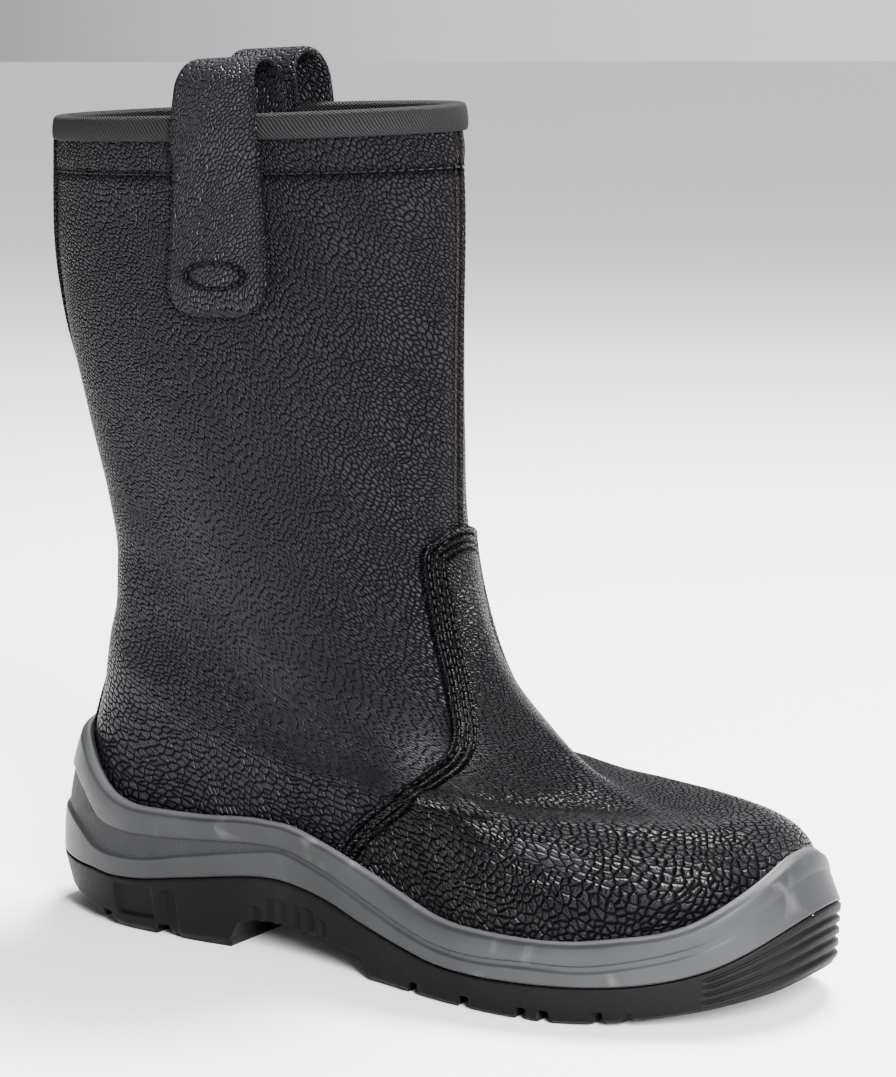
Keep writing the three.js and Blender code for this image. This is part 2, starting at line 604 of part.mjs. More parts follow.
// Outsole: the black tread unit. Its lugs are parted by grooves cut into one form.
function outsoleForm(out) {
  return solid(
    ringSolid(
      [
        soleRing((along) => out - taper(along) - TREAD_CHAMFER, ground),
        soleRing((along) => out - taper(along), (along) => ground(along) + TREAD_CHAMFER),
        soleRing((along) => out - taper(along) / 2, (along) => (ground(along) + side.joint(along)) / 2),
        soleRing(() => out, side.joint),
      ],
      "poles",
    ),
  );
}
function archPrism() {
  const edge = ARCH.map((row) => new THREE.Vector2(row.along * SOLE_LENGTH, row.height * BED_HEIGHT));
  return solid(prism(edge, 2 * BALL_WIDTH).rotateX(HALF_TURN / 2));
}
function lugGroove({ along, wide, deep, slant }, inner) {
  const width = wide * GROOVE_WIDTH;
  const height = 2 * LUG_DEPTH * deep;
  const box = new THREE.BoxGeometry(width, BALL_WIDTH, height);
  box.translate(0, (inner ? 0.5 : -0.5) * (BALL_WIDTH + SPINE_WIDTH), 0);
  box.rotateZ((inner ? -1 : 1) * THREE.MathUtils.degToRad(slant));
  return solid(box.translate(along * SOLE_LENGTH, HALF_BALL * soleCentre(along), ground(along)));
}
function sideCut({ from, to, low, high }) {
  const steps = Math.ceil((to - from) * AROUND);
  const edge = (share) =>
    Array.from({ length: steps + 1 }, (_, i) => {
      const along = THREE.MathUtils.lerp(from, to, i / steps);
      const height = THREE.MathUtils.lerp(ground(along), side.joint(along), share);
      return new THREE.Vector2(along * SOLE_LENGTH, height);
    });
  return solid(prism([...edge(low), ...edge(high).reverse()], 2 * BALL_WIDTH).rotateX(HALF_TURN / 2));
}
function outsoleUnit() {
  const sideCuts = wasm.Manifold.union(SIDE_CUTS.map(sideCut)).subtract(outsoleForm(-SIDE_CUT));
  let unit = outsoleForm(0).subtract(nest(FIT_GAP)).subtract(archPrism()).subtract(sideCuts);
  for (const groove of LUG_GROOVES) {
    unit = unit.subtract(lugGroove(groove, false)).subtract(lugGroove(groove, true));
  }
  return unit;
}

// Midsole: the grey cup. Its side follows the sole's outline below and draws in to the upper
// at the lip, along a curve that straightens into the bumper at the toe; the recessed band
// runs round it.
const BUMPER_START = 0.9;
const FOOT_COVER = VAMP_LEATHER + 2 * FIT_GAP;
const STRIP_COVER = STRIP_LEATHER + 2 * FIT_GAP;
function levelAt(theta, z) {
  let low = -1;
  let high = TOP_LEVEL / 2;
  for (let i = 0; i < 30; i += 1) {
    const middle = (low + high) / 2;
    if (upperSurface(theta, middle).z < z) low = middle;
    else high = middle;
  }
  return low;
}
const bandShare = columnCurve(SOLE_SIDE, "recess", "along");
function midsoleRing(height, outAt) {
  return ring((theta) => {
    const along = alongOf(theta);
    const out = outAt(along);
    const rise = (height(along) - side.joint(along)) / (side.lip(along) - side.joint(along));
    const foot = upperPoint(theta, levelAt(theta, side.lip(along)), FOOT_COVER + SOLE_LIP);
    const bend = 2 - THREE.MathUtils.smoothstep(along, BUMPER_START, 1);
    return solePoint(theta, out).lerp(foot, rise ** bend).setZ(height(along));
  });
}
function between(low, high, share) {
  return (along) => THREE.MathUtils.lerp(low(along), high(along), share);
}
function midsoleCup() {
  const flush = () => 0;
  const recessed = (along) => -BAND_RECESS * bandShare(along);
  const outside = solid(
    ringSolid(
      [
        midsoleRing((along) => side.joint(along) + FIT_GAP, flush),
        midsoleRing(side.bandLow, flush),
        midsoleRing(between(side.bandLow, side.bandHigh, 0.12), recessed),
        midsoleRing(between(side.bandLow, side.bandHigh, 0.88), recessed),
        midsoleRing(side.bandHigh, flush),
        midsoleRing(between(side.bandHigh, side.lip, 0.5), flush),
        midsoleRing(between(side.bandHigh, side.lip, 0.85), flush),
        midsoleRing(side.lip, () => -LIP_ROLL),
      ],
      "poles",
    ),
  );
  const footForm = (out) => legForm(out, 0, UPPER_BANDS / 2, FIT_GAP);
  const cavity = footForm(FIT_GAP);
  const underVamp = footForm(FOOT_COVER).intersect(vampRegion(1));
  const underStrip = footForm(STRIP_COVER).intersect(stripRegion(1));
  return outside.add(nest(0)).subtract(cavity).subtract(underVamp).subtract(underStrip);
}

// Insole: the foot-bed inside the upper.
function insoleBoard() {
  const edge = -UPPER_WALL - 2 * FIT_GAP;
  const low = upperRing(0, edge);
  low.forEach((point, k) => point.setZ(upperSurface((2 * HALF_TURN * k) / AROUND, 0).z));
  const high = low.map((point) => point.clone().setZ(point.z + INSOLE_THICKNESS));
  return ringSolid([low, high], "poles");
}

const boot = new THREE.Group();
function addPiece(name, geometry, colour, roughness) {
  const material = new THREE.MeshStandardMaterial({ color: colour, roughness, metalness: 0 });
  const piece = new THREE.Mesh(geometry, material);
  piece.name = name;
  boot.add(piece);
}
const BLACK_LEATHER = 0x1b1b1f;
addPiece("outsole", skin(outsoleUnit()), 0x1f1f21, 0.6);
addPiece("midsole", skin(midsoleCup()), 0x6d7074, 0.55);
addPiece("upper", upperWall(), BLACK_LEATHER, 0.5);
addPiece("vamp", skin(layer(VAMP_LEATHER, VAMP_TOP_BAND, vampRegion(0))), BLACK_LEATHER, 0.45);
addPiece("back_strip", skin(layer(STRIP_LEATHER, UPPER_BANDS, stripRegion(0))), BLACK_LEATHER, 0.5);
addPiece("collar_binding", bindingRing(), 0x232327, 0.6);
addPiece("pull_loop_outer", pullLoop(false), BLACK_LEATHER, 0.5);
addPiece("pull_loop_inner", pullLoop(true), BLACK_LEATHER, 0.5);
addPiece("insole", insoleBoard(), 0x2b2a28, 0.9);

// The origin goes under the middle of the boot's box.
const box = new THREE.Box3().setFromObject(boot);
const middle = box.getCenter(new THREE.Vector3());
boot.position.set(-middle.x, -middle.y, -box.min.z);

export default boot;
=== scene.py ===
# Rigger boot for the right foot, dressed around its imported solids. Sizes are in millimetres
# from the back of the heel, the boot's middle line and the floor, and the frame is in metres.
import math

import bmesh
import bpy
import numpy as np
from mathutils import Matrix, Quaternion, Vector


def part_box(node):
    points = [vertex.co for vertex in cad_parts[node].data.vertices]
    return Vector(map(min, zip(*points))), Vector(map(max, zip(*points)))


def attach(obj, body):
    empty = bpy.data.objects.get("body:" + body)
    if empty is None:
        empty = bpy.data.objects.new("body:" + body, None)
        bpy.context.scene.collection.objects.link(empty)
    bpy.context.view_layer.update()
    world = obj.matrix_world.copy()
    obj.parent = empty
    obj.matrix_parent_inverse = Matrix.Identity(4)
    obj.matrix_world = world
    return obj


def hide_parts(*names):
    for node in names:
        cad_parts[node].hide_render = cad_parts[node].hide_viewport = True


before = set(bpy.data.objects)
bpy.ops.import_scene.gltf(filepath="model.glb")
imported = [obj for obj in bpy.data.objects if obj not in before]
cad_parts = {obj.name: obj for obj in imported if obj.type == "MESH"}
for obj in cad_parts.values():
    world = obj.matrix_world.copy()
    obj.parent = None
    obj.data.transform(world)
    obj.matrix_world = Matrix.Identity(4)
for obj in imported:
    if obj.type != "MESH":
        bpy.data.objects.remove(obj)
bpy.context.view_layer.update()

# Leather leg and foot
# One hollow form of black pebbled leather, lasted over the foot and sewn up the front and
# the back. It is told by sections from the feather line at the sole up to the collar.
SOLE_LENGTH = 305
BALL_WIDTH = 106
BED_HEIGHT = 32
INSTEP_HEIGHT = 154
COLLAR_HEIGHT = 290
UPPER_WALL = 2.6
MIDDLE_LINE = -1.39
HEEL_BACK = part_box("outsole")[0].x * 1000
SECTION_COLUMNS = "front_x front_z back_x back_z sag lean heel seat waist ball toe swing".split()
UPPER_SECTIONS = [
    (0.961, -0.033, 0.056, 0.016, 0.28, 0, 0.61, 0.645, 0.625, 0.885, 0.69, 1),
    (0.968, 0.052, 0.047, 0.098, 0.16, 0, 0.63, 0.67, 0.665, 0.915, 0.705, 1),
    (0.964, 0.137, 0.045, 0.197, 0.06, 0, 0.63, 0.68, 0.69, 0.895, 0.67, 1),
    (0.944, 0.198, 0.049, 0.287, 0, 0, 0.62, 0.675, 0.7, 0.825, 0.57, 1),
    (0.906, 0.23, 0.058, 0.369, 0, 0, 0.61, 0.665, 0.7, 0.725, 0.43, 1),
    (0.833, 0.226, 0.069, 0.451, 0, 0, 0.6, 0.66, 0.7, 0.65, 0.33, 1),
    (0.747, 0.275, 0.076, 0.533, 0, 0, 0.59, 0.655, 0.705, 0.64, 0.325, 0.9),
    (0.676, 0.395, 0.084, 0.615, 0, 0, 0.58, 0.655, 0.71, 0.645, 0.345, 0.7),
    (0.614, 0.537, 0.095, 0.713, 0, 0, 0.56, 0.66, 0.72, 0.65, 0.37, 0.5),
    (0.575, 0.738, 0.097, 0.836, 0, 0, 0.54, 0.665, 0.735, 0.66, 0.385, 0.3),
    (0.555, 0.984, 0.085, 1, 0, 0, 0.51, 0.66, 0.74, 0.655, 0.375, 0.1),
    (0.554, 1.228, 0.045, 1.228, 0, 0, 0.44, 0.63, 0.715, 0.62, 0.34, 0),
    (0.556, 1.492, 0.003, 1.485, 0, 0.02, 0.34, 0.55, 0.645, 0.55, 0.3, 0),
    (0.559, 1.763, -0.013, 1.743, 0, 0.04, 0.28, 0.47, 0.555, 0.47, 0.27, 0),
    (0.555, 2.037, -0.01, 2, 0, 0.058, 0.26, 0.43, 0.495, 0.43, 0.26, 0),
]
TOP_LEVEL = len(UPPER_SECTIONS) - 1
WIDTH_PLACES = {"heel": 0.08, "seat": 0.25, "waist": 0.5, "ball": 0.75, "toe": 0.92}
# The sole's outline in plan: place along it, half width and drift of its middle.
SOLE_OUTLINE = [
    (0.065, 0.63, 0), (0.15, 0.77, 0), (0.26, 0.765, -0.02), (0.385, 0.69, -0.07),
    (0.515, 0.74, -0.085), (0.645, 0.915, -0.05), (0.745, 1, 0.02), (0.835, 0.93, 0.1),
    (0.905, 0.78, 0.165), (0.965, 0.52, 0.21),
]


def smooth_curve(places, heights):
    """A curve through points, level at its peaks, that runs on straight past both ends."""
    places = np.asarray(places, float)
    heights = np.asarray(heights, float)
    spans = np.diff(places).reshape(-1, *[1] * (heights.ndim - 1))
    rises = np.diff(heights, axis=0) / spans
    before = np.concatenate([rises[:1], rises])
    after = np.concatenate([rises, rises[-1:]])
    slopes = np.where(before * after > 0, (before + after) / 2, 0)

    def at(x):
        x = np.asarray(x, float)
        i = np.clip(np.searchsorted(places, x) - 1, 0, len(places) - 2)
        column = (i, np.arange(len(x))) if heights.ndim > 1 else (i,)
        following = (i + 1, *column[1:])
        span = places[i + 1] - places[i]
        whole = (x - places[i]) / span
        t = np.clip(whole, 0, 1)
        low, high = heights[column], heights[following]
        bend = slopes[column] * t * (1 - t) ** 2 + slopes[following] * t * t * (t - 1)
        beyond = np.where(whole < 0, slopes[column] * whole, 0)
        beyond = np.where(whole > 1, slopes[following] * (whole - 1), beyond)
        return low + (high - low) * t * t * (3 - 2 * t) + span * (bend + beyond)

    return at


def leg_height(share):
    """Height of a share that counts 0 at the foot-bed, 1 at the instep and 2 at the collar."""
    share = np.asarray(share, float)
    foot = BED_HEIGHT + (INSTEP_HEIGHT - BED_HEIGHT) * share
    leg = INSTEP_HEIGHT + (COLLAR_HEIGHT - INSTEP_HEIGHT) * (share - 1)
    return np.where(share < 1, foot, leg)


def section_curve(name):
    values = np.array([row[SECTION_COLUMNS.index(name)] for row in UPPER_SECTIONS], float)
    if name.endswith("_x"):
        values = values * SOLE_LENGTH
    if name.endswith("_z"):
        values = leg_height(values)
    return smooth_curve(range(len(values)), values)


def round_end(share):
    return 2 * np.sqrt(share * (1 - share))


section = {name: section_curve(name) for name in SECTION_COLUMNS}
along_sole = np.array([row[0] for row in SOLE_OUTLINE])
sole_fullness = smooth_curve(along_sole, [row[1] for row in SOLE_OUTLINE] / round_end(along_sole))
sole_centre = smooth_curve(along_sole, [row[2] for row in SOLE_OUTLINE])


def leather_surface(theta, level):
    """Outer face of the leather. Theta runs from the heel by the outer side to the toe."""
    theta, level = (np.array(v, float).ravel() for v in np.broadcast_arrays(theta, level))
    along = 0.5 - 0.5 * np.cos(theta)
    back_x, front_x = section["back_x"](level), section["front_x"](level)
    back_z, front_z = section["back_z"](level), section["front_z"](level)
    x = back_x + (front_x - back_x) * along
    z = back_z + (front_z - back_z) * along
    widths = [section[name](level) / round_end(at) for name, at in WIDTH_PLACES.items()]
    fullness = smooth_curve(list(WIDTH_PLACES.values()), np.array(widths))(along)
    half = BALL_WIDTH / 2 * fullness * np.sin(theta)
    drift = BALL_WIDTH / 2 * section["swing"](level) * sole_centre(x / SOLE_LENGTH)
    droop = BED_HEIGHT * section["sag"](level) * np.sin(math.pi * along**2) ** 2
    return np.stack([x, drift - half, z - droop - half * section["lean"](level)], axis=1)


def unit(vectors):
    return vectors / np.maximum(np.linalg.norm(vectors, axis=1, keepdims=True), 1e-9)


def leather_facing(theta, level):
    step = 0.01
    around = leather_surface(theta + step, level) - leather_surface(theta - step, level)
    upwards = leather_surface(theta, level + step) - leather_surface(theta, level - step)
    return unit(np.cross(around, upwards))


def leather(theta, level, out):
    """The leather's outer face moved out, as points of the boot."""
    theta, level, out = np.broadcast_arrays(theta, level, out)
    shift = np.ravel(out)[:, None] * leather_facing(theta, level)
    return leather_surface(theta, level) + shift


# Soft folds of the leg, each from one point of the side view to another: x, height, x and
# height, then its reach to the sides and how far it stands out, which is less than 0 in a hollow.
FOLD_CALM = 12
OUTER_FOLDS = [
    (161, 250, 158, 168, 7, -2.2),
    (172, 262, 171, 178, 5, 1.3),
    (150, 150, 158, 96, 10, -1.5),
    (60, 112, 118, 78, 9, -1.6),
    (52, 96, 108, 60, 8, 1.3),
    (44, 140, 92, 118, 8, -0.8),
    (128, 76, 152, 92, 9, 1.2),
]
INNER_FOLDS = [
    (158, 240, 156, 166, 8, -1.2),
    (52, 118, 120, 84, 10, -1.2),
    (56, 98, 118, 66, 9, 0.9),
    (40, 150, 88, 122, 8, -0.8),
]


def soft_step(values, low, high):
    t = np.clip((values - low) / (high - low), 0, 1)
    return t * t * (3 - 2 * t)


def fading(away, reach):
    """1 where there is no distance, falling softly to nothing beyond a reach."""
    return np.exp(-((away / reach) ** 2))


def folds_over(points, folds):
    """How far soft folds lift each point, told by its place in the side view."""
    lift = np.zeros(len(points))
    seen = points[:, [0, 2]]
    for x0, z0, x1, z1, reach, height in folds:
        start, run = np.array([x0, z0]), np.array([x1 - x0, z1 - z0])
        t = np.clip((seen - start) @ run / (run @ run), 0, 1)
        away = np.linalg.norm(seen - start - t[:, None] * run, axis=1)
        lift += height * fading(away, reach) * (0.55 + 0.45 * np.sin(math.pi * t))
    return lift


def leg_relief(points):
    """The folds' lift, which dies away towards the front and back seams."""
    outer = points[:, 1] < 0
    lift = np.where(outer, folds_over(points, OUTER_FOLDS), folds_over(points, INNER_FOLDS))
    return lift * soft_step(np.abs(points[:, 1]), 0, FOLD_CALM)


def into_frame(points):
    return (np.asarray(points) + (HEEL_BACK, MIDDLE_LINE, 0)) / 1000


def grain_places(shares, points, columns, rows):
    """How far each point lies along its row, from the row's middle, and up its column, so that
    grain laid out by these lengths keeps its size all over a piece."""
    order = np.lexsort((shares[:, 0], shares[:, 1]))
    net = points[order].reshape(rows + 1, columns + 1, 3)
    around = np.cumsum(np.linalg.norm(np.diff(net, axis=1, prepend=net[:, :1]), axis=2), axis=1)
    around -= around[:, columns // 2, None]
    rising = np.cumsum(np.linalg.norm(np.diff(net, axis=0, prepend=net[:1]), axis=2), axis=0)
    back = np.argsort(order)
    return {"around": around.ravel()[back], "rising": rising.ravel()[back]}


def formed_grid(columns, rows, form):
    """A grid moved onto a form. The form turns shares across and up into points, and may give
    values to keep on the surface. Doubles at a closed side or a pole become one."""
    mesh = bmesh.new()
    mesh.loops.layers.uv.new("surface")
    bmesh.ops.create_grid(mesh, x_segments=columns, y_segments=rows, size=0.5, calc_uvs=True)
    shares = np.array([v.co for v in mesh.verts]) + 0.5
    made = form(shares[:, 0], shares[:, 1])
    points, kept = made if isinstance(made, tuple) else (made, {})
    kept = {**grain_places(shares, points, columns, rows), **kept}
    for vertex, place in zip(mesh.verts, into_frame(points)):
        vertex.co = place
    for name, values in kept.items():
        layer = mesh.verts.layers.float.new(name)
        for vertex, value in zip(mesh.verts, values):
            vertex[layer] = value
    bmesh.ops.remove_doubles(mesh, verts=mesh.verts, dist=1e-6)
    bmesh.ops.recalc_face_normals(mesh, faces=mesh.faces)
    return mesh


def boot_piece(name, mesh, finish, slot, *nodes):
    """Makes a mesh a piece of the boot that rides on it and stands for its solids."""
    data = bpy.data.meshes.new(name)
    mesh.to_mesh(data)
    mesh.free()
    data.shade_smooth()
    data.materials.append(finish)
    piece = bpy.data.objects.new(name, data)
    bpy.context.collection.objects.link(piece)
    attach(piece, "root")
    if nodes:
        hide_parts(*nodes)
    return piece


class Flow:
    """What one socket gives, with arithmetic that adds Math nodes."""

    def __init__(self, finish, socket):
        self.finish = finish
        self.socket = socket

    def maths(self, operation, first, second):
        values = {0: first, 1: second}
        return self.finish.add("ShaderNodeMath", {"operation": operation}, values)

    def __add__(self, other):
        return self.maths("ADD", self, other)

    def __sub__(self, other):
        return self.maths("SUBTRACT", self, other)

    def __rsub__(self, other):
        return self.maths("SUBTRACT", other, self)

    def __mul__(self, other):
        return self.maths("MULTIPLY", self, other)

    __radd__ = __add__
    __rmul__ = __mul__

    def between(self, low, high):
        """0 up to low, 1 from high and a soft step from one to the other."""
        settings = {"interpolation_type": "SMOOTHSTEP"}
        return self.finish.add("ShaderNodeMapRange", settings, {0: self, 1: low, 2: high})


# Black of the painted shade mixed into furrows, seams and the binding's rib grooves.
PAINTED_SHADE_BLACK = (0.0002, 0.0002, 0.0003, 1)


class Finish:
    """One material, from its Principled shader and the nodes that feed it."""

    def __init__(self, name):
        self.material = bpy.data.materials.new(name)
        self.material.use_nodes = True
        self.nodes = self.material.node_tree.nodes
        self.shader = self.nodes["Principled BSDF"]

    def add(self, kind, settings, values, output=0):
        node = self.nodes.new(kind)
        for name, value in settings.items():
            setattr(node, name, value)
        self.feed(node, values)
        return Flow(self, node.outputs[output])

    def feed(self, node, values):
        for name, value in values.items():
            if isinstance(value, Flow):
                self.material.node_tree.links.new(value.socket, node.inputs[name])
            else:
                node.inputs[name].default_value = value

    def object_place(self):
        return self.add("ShaderNodeTexCoord", {}, {}, "Object")

    def surface_place(self, stretch):
        place = self.add("ShaderNodeUVMap", {"uv_map": "surface"}, {})
        return self.add("ShaderNodeMapping", {}, {"Vector": place, "Scale": stretch})

    def kept(self, name):
        """A value that the piece's mesh keeps."""
        return self.add("ShaderNodeAttribute", {"attribute_name": name}, {}, "Fac")

    def grain_place(self, per_mm, turn):
        """Places along the surface, turned and counted in grain cells."""
        values = {0: self.kept("around"), 1: self.kept("rising")}
        place = self.add("ShaderNodeCombineXYZ", {}, values)
        size = [1 / count for count in per_mm] + [1]
        values = {"Vector": place, "Scale": size, "Rotation": (0, 0, turn)}
        return self.add("ShaderNodeMapping", {"vector_type": "TEXTURE"}, values)

    def noise(self, place, scale, detail=2, output="Fac"):
        values = {"Vector": place, "Scale": scale, "Detail": detail}
        return self.add("ShaderNodeTexNoise", {}, values, output)

    def drifted(self, place, scale, reach):
        """The place, bent to and fro by a noise."""
        values = {0: self.noise(place, scale, 1, "Color"), 1: (0.5, 0.5, 0.5)}
        centred = self.add("ShaderNodeVectorMath", {"operation": "SUBTRACT"}, values)
        values = {0: centred, 1: (reach, reach, reach), 2: place}
        return self.add("ShaderNodeVectorMath", {"operation": "MULTIPLY_ADD"}, values)

    def mix(self, factor, first, second):
        settings = {"data_type": "RGBA"}
        return self.add("ShaderNodeMix", settings, {0: factor, 6: first, 7: second}, 2)

    def shade(self, share):
        """Mixes a black shader over part of the surface: painted shade, such as falls in deep furrows and
        needle holes.
        """
        black = self.add("ShaderNodeBsdfDiffuse", {}, {"Color": PAINTED_SHADE_BLACK}, "BSDF")
        lit = Flow(self, self.shader.outputs["BSDF"])
        mixed = self.add("ShaderNodeMixShader", {}, {0: share, 1: lit, 2: black}, "Shader")
        self.feed(self.nodes["Material Output"], {"Surface": mixed})

    def bump(self, height, depth):
        return self.add("ShaderNodeBump", {}, {"Height": height, "Distance": depth})


# The girth at which the leather's grain has its own size, and the net it is worked out on.
GRAIN_GIRTH = 430
GRAIN_LINES, GRAIN_TURNS = 120, 240


def mapped_grain():
    """Grain lengths over the whole leather, told by level and turn. They keep a cell's shape
    and let its size follow the girth."""
    levels = np.repeat(np.linspace(0, TOP_LEVEL, GRAIN_LINES + 1), GRAIN_TURNS + 1)
    turns = np.tile(np.linspace(0, 2 * math.pi, GRAIN_TURNS + 1), GRAIN_LINES + 1)
    net = leather_surface(turns, levels).reshape(GRAIN_LINES + 1, GRAIN_TURNS + 1, 3)
    arcs = np.cumsum(np.linalg.norm(np.diff(net, axis=1, prepend=net[:, :1]), axis=2), axis=1)
    girths = arcs[:, -1:]
    around = (arcs / girths).mean(axis=0) * GRAIN_GIRTH
    steps = np.linalg.norm(np.diff(net, axis=0, prepend=net[:1]), axis=2) * GRAIN_GIRTH / girths
    return around, np.cumsum(steps, axis=0)


grain_around, grain_rising = mapped_grain()


def leather_grain(theta, level):
    """The grain lengths at any place of the leather, read off the net."""
    line = np.clip(level / TOP_LEVEL * GRAIN_LINES, 0, GRAIN_LINES - 0.001)
    turn = np.clip(theta / (2 * math.pi) * GRAIN_TURNS, 0, GRAIN_TURNS - 0.001)
    low, left = line.astype(int), turn.astype(int)
    up, over = line - low, turn - left
    below = grain_rising[low, left] * (1 - over) + grain_rising[low, left + 1] * over
    above = grain_rising[low + 1, left] * (1 - over) + grain_rising[low + 1, left + 1] * over
    around = grain_around[left] * (1 - over) + grain_around[left + 1] * over
    return {"around": around, "rising": below * (1 - up) + above * up}


def pebbled_leather(name, top, gloss, shine, pebbles_per_mm, lean, depth, tint=None):
    """Black corrected leather: flat-topped pebbles parted by fine furrows in painted shade. A piece
    keeps the depth of its seams, also in painted shade, and where a tint is mixed in."""
    finish = Finish(name)
    place = finish.grain_place(pebbles_per_mm, lean)
    bent = finish.drifted(finish.drifted(place, 0.06, 6), 0.9, 0.3)
    cells = {"feature": "DISTANCE_TO_EDGE", "voronoi_dimensions": "2D"}
    values = {"Vector": bent, "Scale": 1.0, "Randomness": 0.85}
    from_furrow = finish.add("ShaderNodeTexVoronoi", cells, values)
    from_wrinkle = finish.add("ShaderNodeTexVoronoi", cells, {"Vector": bent, "Scale": 2.3})
    pebble = from_furrow.between(-0.02, 0.3)
    lit = from_furrow.between(0.005, 0.14)
    wrinkle = from_wrinkle.between(0.0, 0.2)
    patches = finish.noise(place, 0.05, 3).between(0.3, 0.72)
    colour = finish.mix(patches * 0.5, (*top, 1), (*[0.6 * c for c in top], 1))
    if tint:
        colour = finish.mix(finish.kept("tint"), colour, (*tint, 1))
    shaded_seam = finish.kept("shaded_seam")
    finish.feed(
        finish.shader,
        {
            "Base Color": colour,
            "Roughness": 0.66 - lit * gloss,
            "Specular IOR Level": shine,
            "Normal": finish.bump(pebble * 0.85 + wrinkle * pebble * 0.15, depth),
        },
    )
    # Painted shade: the black shader covers the furrows and the kept seams, outside the open pebble tops.
    open_top = lit * (0.85 + wrinkle * 0.15) * (1.0 - shaded_seam)
    finish.shade(0.96 - open_top * 0.96)
    return finish.material


LEG_GRID = (320, 260)
# Shares of the leg's grid where the outer face ends and the inner one starts.
OUTER_FACE_END = 0.7
INNER_FACE_START = 0.72
SEAM_FOOT_LEVEL = 9.5
SEAM_DEPTH = 0.7
SEAM_HALF_WIDTH = 1.1
SEAM_ROW_INSET = 2.6
COLLAR_ROW_LEVEL = TOP_LEVEL - 0.52
COLLAR_ROW_DEPTH = 0.6
PUCKER_ABOVE_ROW = 0.16
PUCKER_HEIGHT = 0.8


def leg_form(across, up):
    theta = 2 * math.pi * across
    outside = np.clip(up / OUTER_FACE_END, 0, 1)
    inside = np.clip((up - INNER_FACE_START) / (1 - INNER_FACE_START), 0, 1)
    turned_in = up > (OUTER_FACE_END + INNER_FACE_START) / 2
    level = TOP_LEVEL * np.where(turned_in, 1 - inside, outside)
    out = np.where(up <= OUTER_FACE_END, 0.0, -UPPER_WALL)
    flat = leather(theta, level, 0)
    aside, in_front = np.abs(flat[:, 1]), np.cos(theta) < 0
    front_seam = in_front * (level > SEAM_FOOT_LEVEL)
    shaded_seam = fading(aside, SEAM_HALF_WIDTH)
    rows = fading(aside - SEAM_ROW_INSET, 0.5) * front_seam
    sewn_rim = fading(level - COLLAR_ROW_LEVEL, 0.03)
    gathers = 0.5 + 0.3 * np.sin(23 * theta + 1.2 * np.sin(7 * theta)) + 0.2 * np.sin(59 * theta)
    pucker = fading(level - COLLAR_ROW_LEVEL - PUCKER_ABOVE_ROW, 0.12) * gathers
    relief = leg_relief(flat) - SEAM_DEPTH * shaded_seam * front_seam
    relief += (PUCKER_HEIGHT * pucker - COLLAR_ROW_DEPTH * sewn_rim) * (up <= OUTER_FACE_END)
    front = fading(aside, 7) * in_front * (level > 8)
    heel = fading(aside, 16) * ~in_front * (level > 9)
    kept = {
        "tint": 0.55 * front + 0.4 * heel,
        # The seams, the rows beside the front seam and the collar row are kept for painted shade.
        "shaded_seam": np.clip(sewn_rim + 0.7 * shaded_seam * (level > SEAM_FOOT_LEVEL) + 0.6 * rows, 0, 1),
        **leather_grain(theta, level),
    }
    return leather(theta, level, out + relief), kept


leg_leather = pebbled_leather(
    "leg leather", (0.009, 0.0085, 0.0113), 0.3, 0.12, (0.42, 0.6), -0.35, 0.0007, (0.012, 0.008, 0.006)
)
boot_piece("leg_and_foot", formed_grid(*LEG_GRID, leg_form), leg_leather, "leg_leather", "upper")

# Seams of the leg
# Bonded black thread in short lock stitches, each a small swollen grain that lies in the
# leather. The front seam has a row on each side, and one row runs round below the collar.
STITCH_LENGTH = 2.6
STITCH_PITCH = 3.3
STITCH_WIDTH = 0.75


def evenly_along(points, facings, pitch):
    """Points a pitch apart on a path, with the path's direction and facing there."""
    run = np.concatenate([[0], np.cumsum(np.linalg.norm(np.diff(points, axis=0), axis=1))])
    count = max(2, int(run[-1] / pitch))
    at = (np.arange(count) + 0.5) * run[-1] / count

    def pick(values, where):
        return np.stack([np.interp(where, run, values[:, k]) for k in range(3)], axis=1)

    ahead = unit(pick(points, at + 0.4) - pick(points, at - 0.4))
    return pick(points, at), ahead, unit(pick(facings, at))


def sew(mesh, points, facings, pitch=STITCH_PITCH, length=STITCH_LENGTH, width=STITCH_WIDTH):
    """Adds a row of stitches to a mesh, along points of the boot."""
    size = Matrix.Diagonal((length / 2000, width / 2000, width / 2600, 1))
    lying = size @ Matrix.Rotation(math.pi / 2, 4, "Y")
    for place, ahead, facing in zip(*evenly_along(points, facings, pitch)):
        aside = np.cross(facing, ahead)
        turn = Matrix(np.stack([ahead, aside, facing], axis=1).tolist()).to_4x4()
        where = Matrix.Translation(into_frame(place)) @ turn @ lying
        bmesh.ops.create_uvsphere(mesh, u_segments=6, v_segments=4, radius=1, matrix=where)


def on_leather(theta, level, out):
    """A path on the leather, as points and facings."""
    lift = leg_relief(leather(theta, level, 0))
    return leather(theta, level, out + lift), leather_facing(*np.broadcast_arrays(theta, level))


def theta_beside(level, front, aside):
    """Theta a distance beside the front or back middle of the leg, towards the outer side."""
    reach = np.linspace(0, 0.9, 200)
    turned = []
    for one in np.atleast_1d(level):
        row = leather_surface((math.pi - reach) if front else reach, one)
        run = np.concatenate([[0], np.cumsum(np.linalg.norm(np.diff(row, axis=0), axis=1))])
        turned.append(np.interp(abs(aside), run, reach))
    turned = np.array(turned) * np.sign(aside)
    return math.pi - turned if front else turned


def thread_finish(name, colour):
    finish = Finish(name)
    twist = finish.noise(finish.object_place(), 900)
    finish.feed(
        finish.shader,
        {
            "Base Color": finish.mix(twist, colour, (0.001, 0.001, 0.0012, 1)),
            "Roughness": 0.5,
            "Specular IOR Level": 0.2,
            "Normal": finish.bump(twist, 0.0001),
        },
    )
    return finish.material


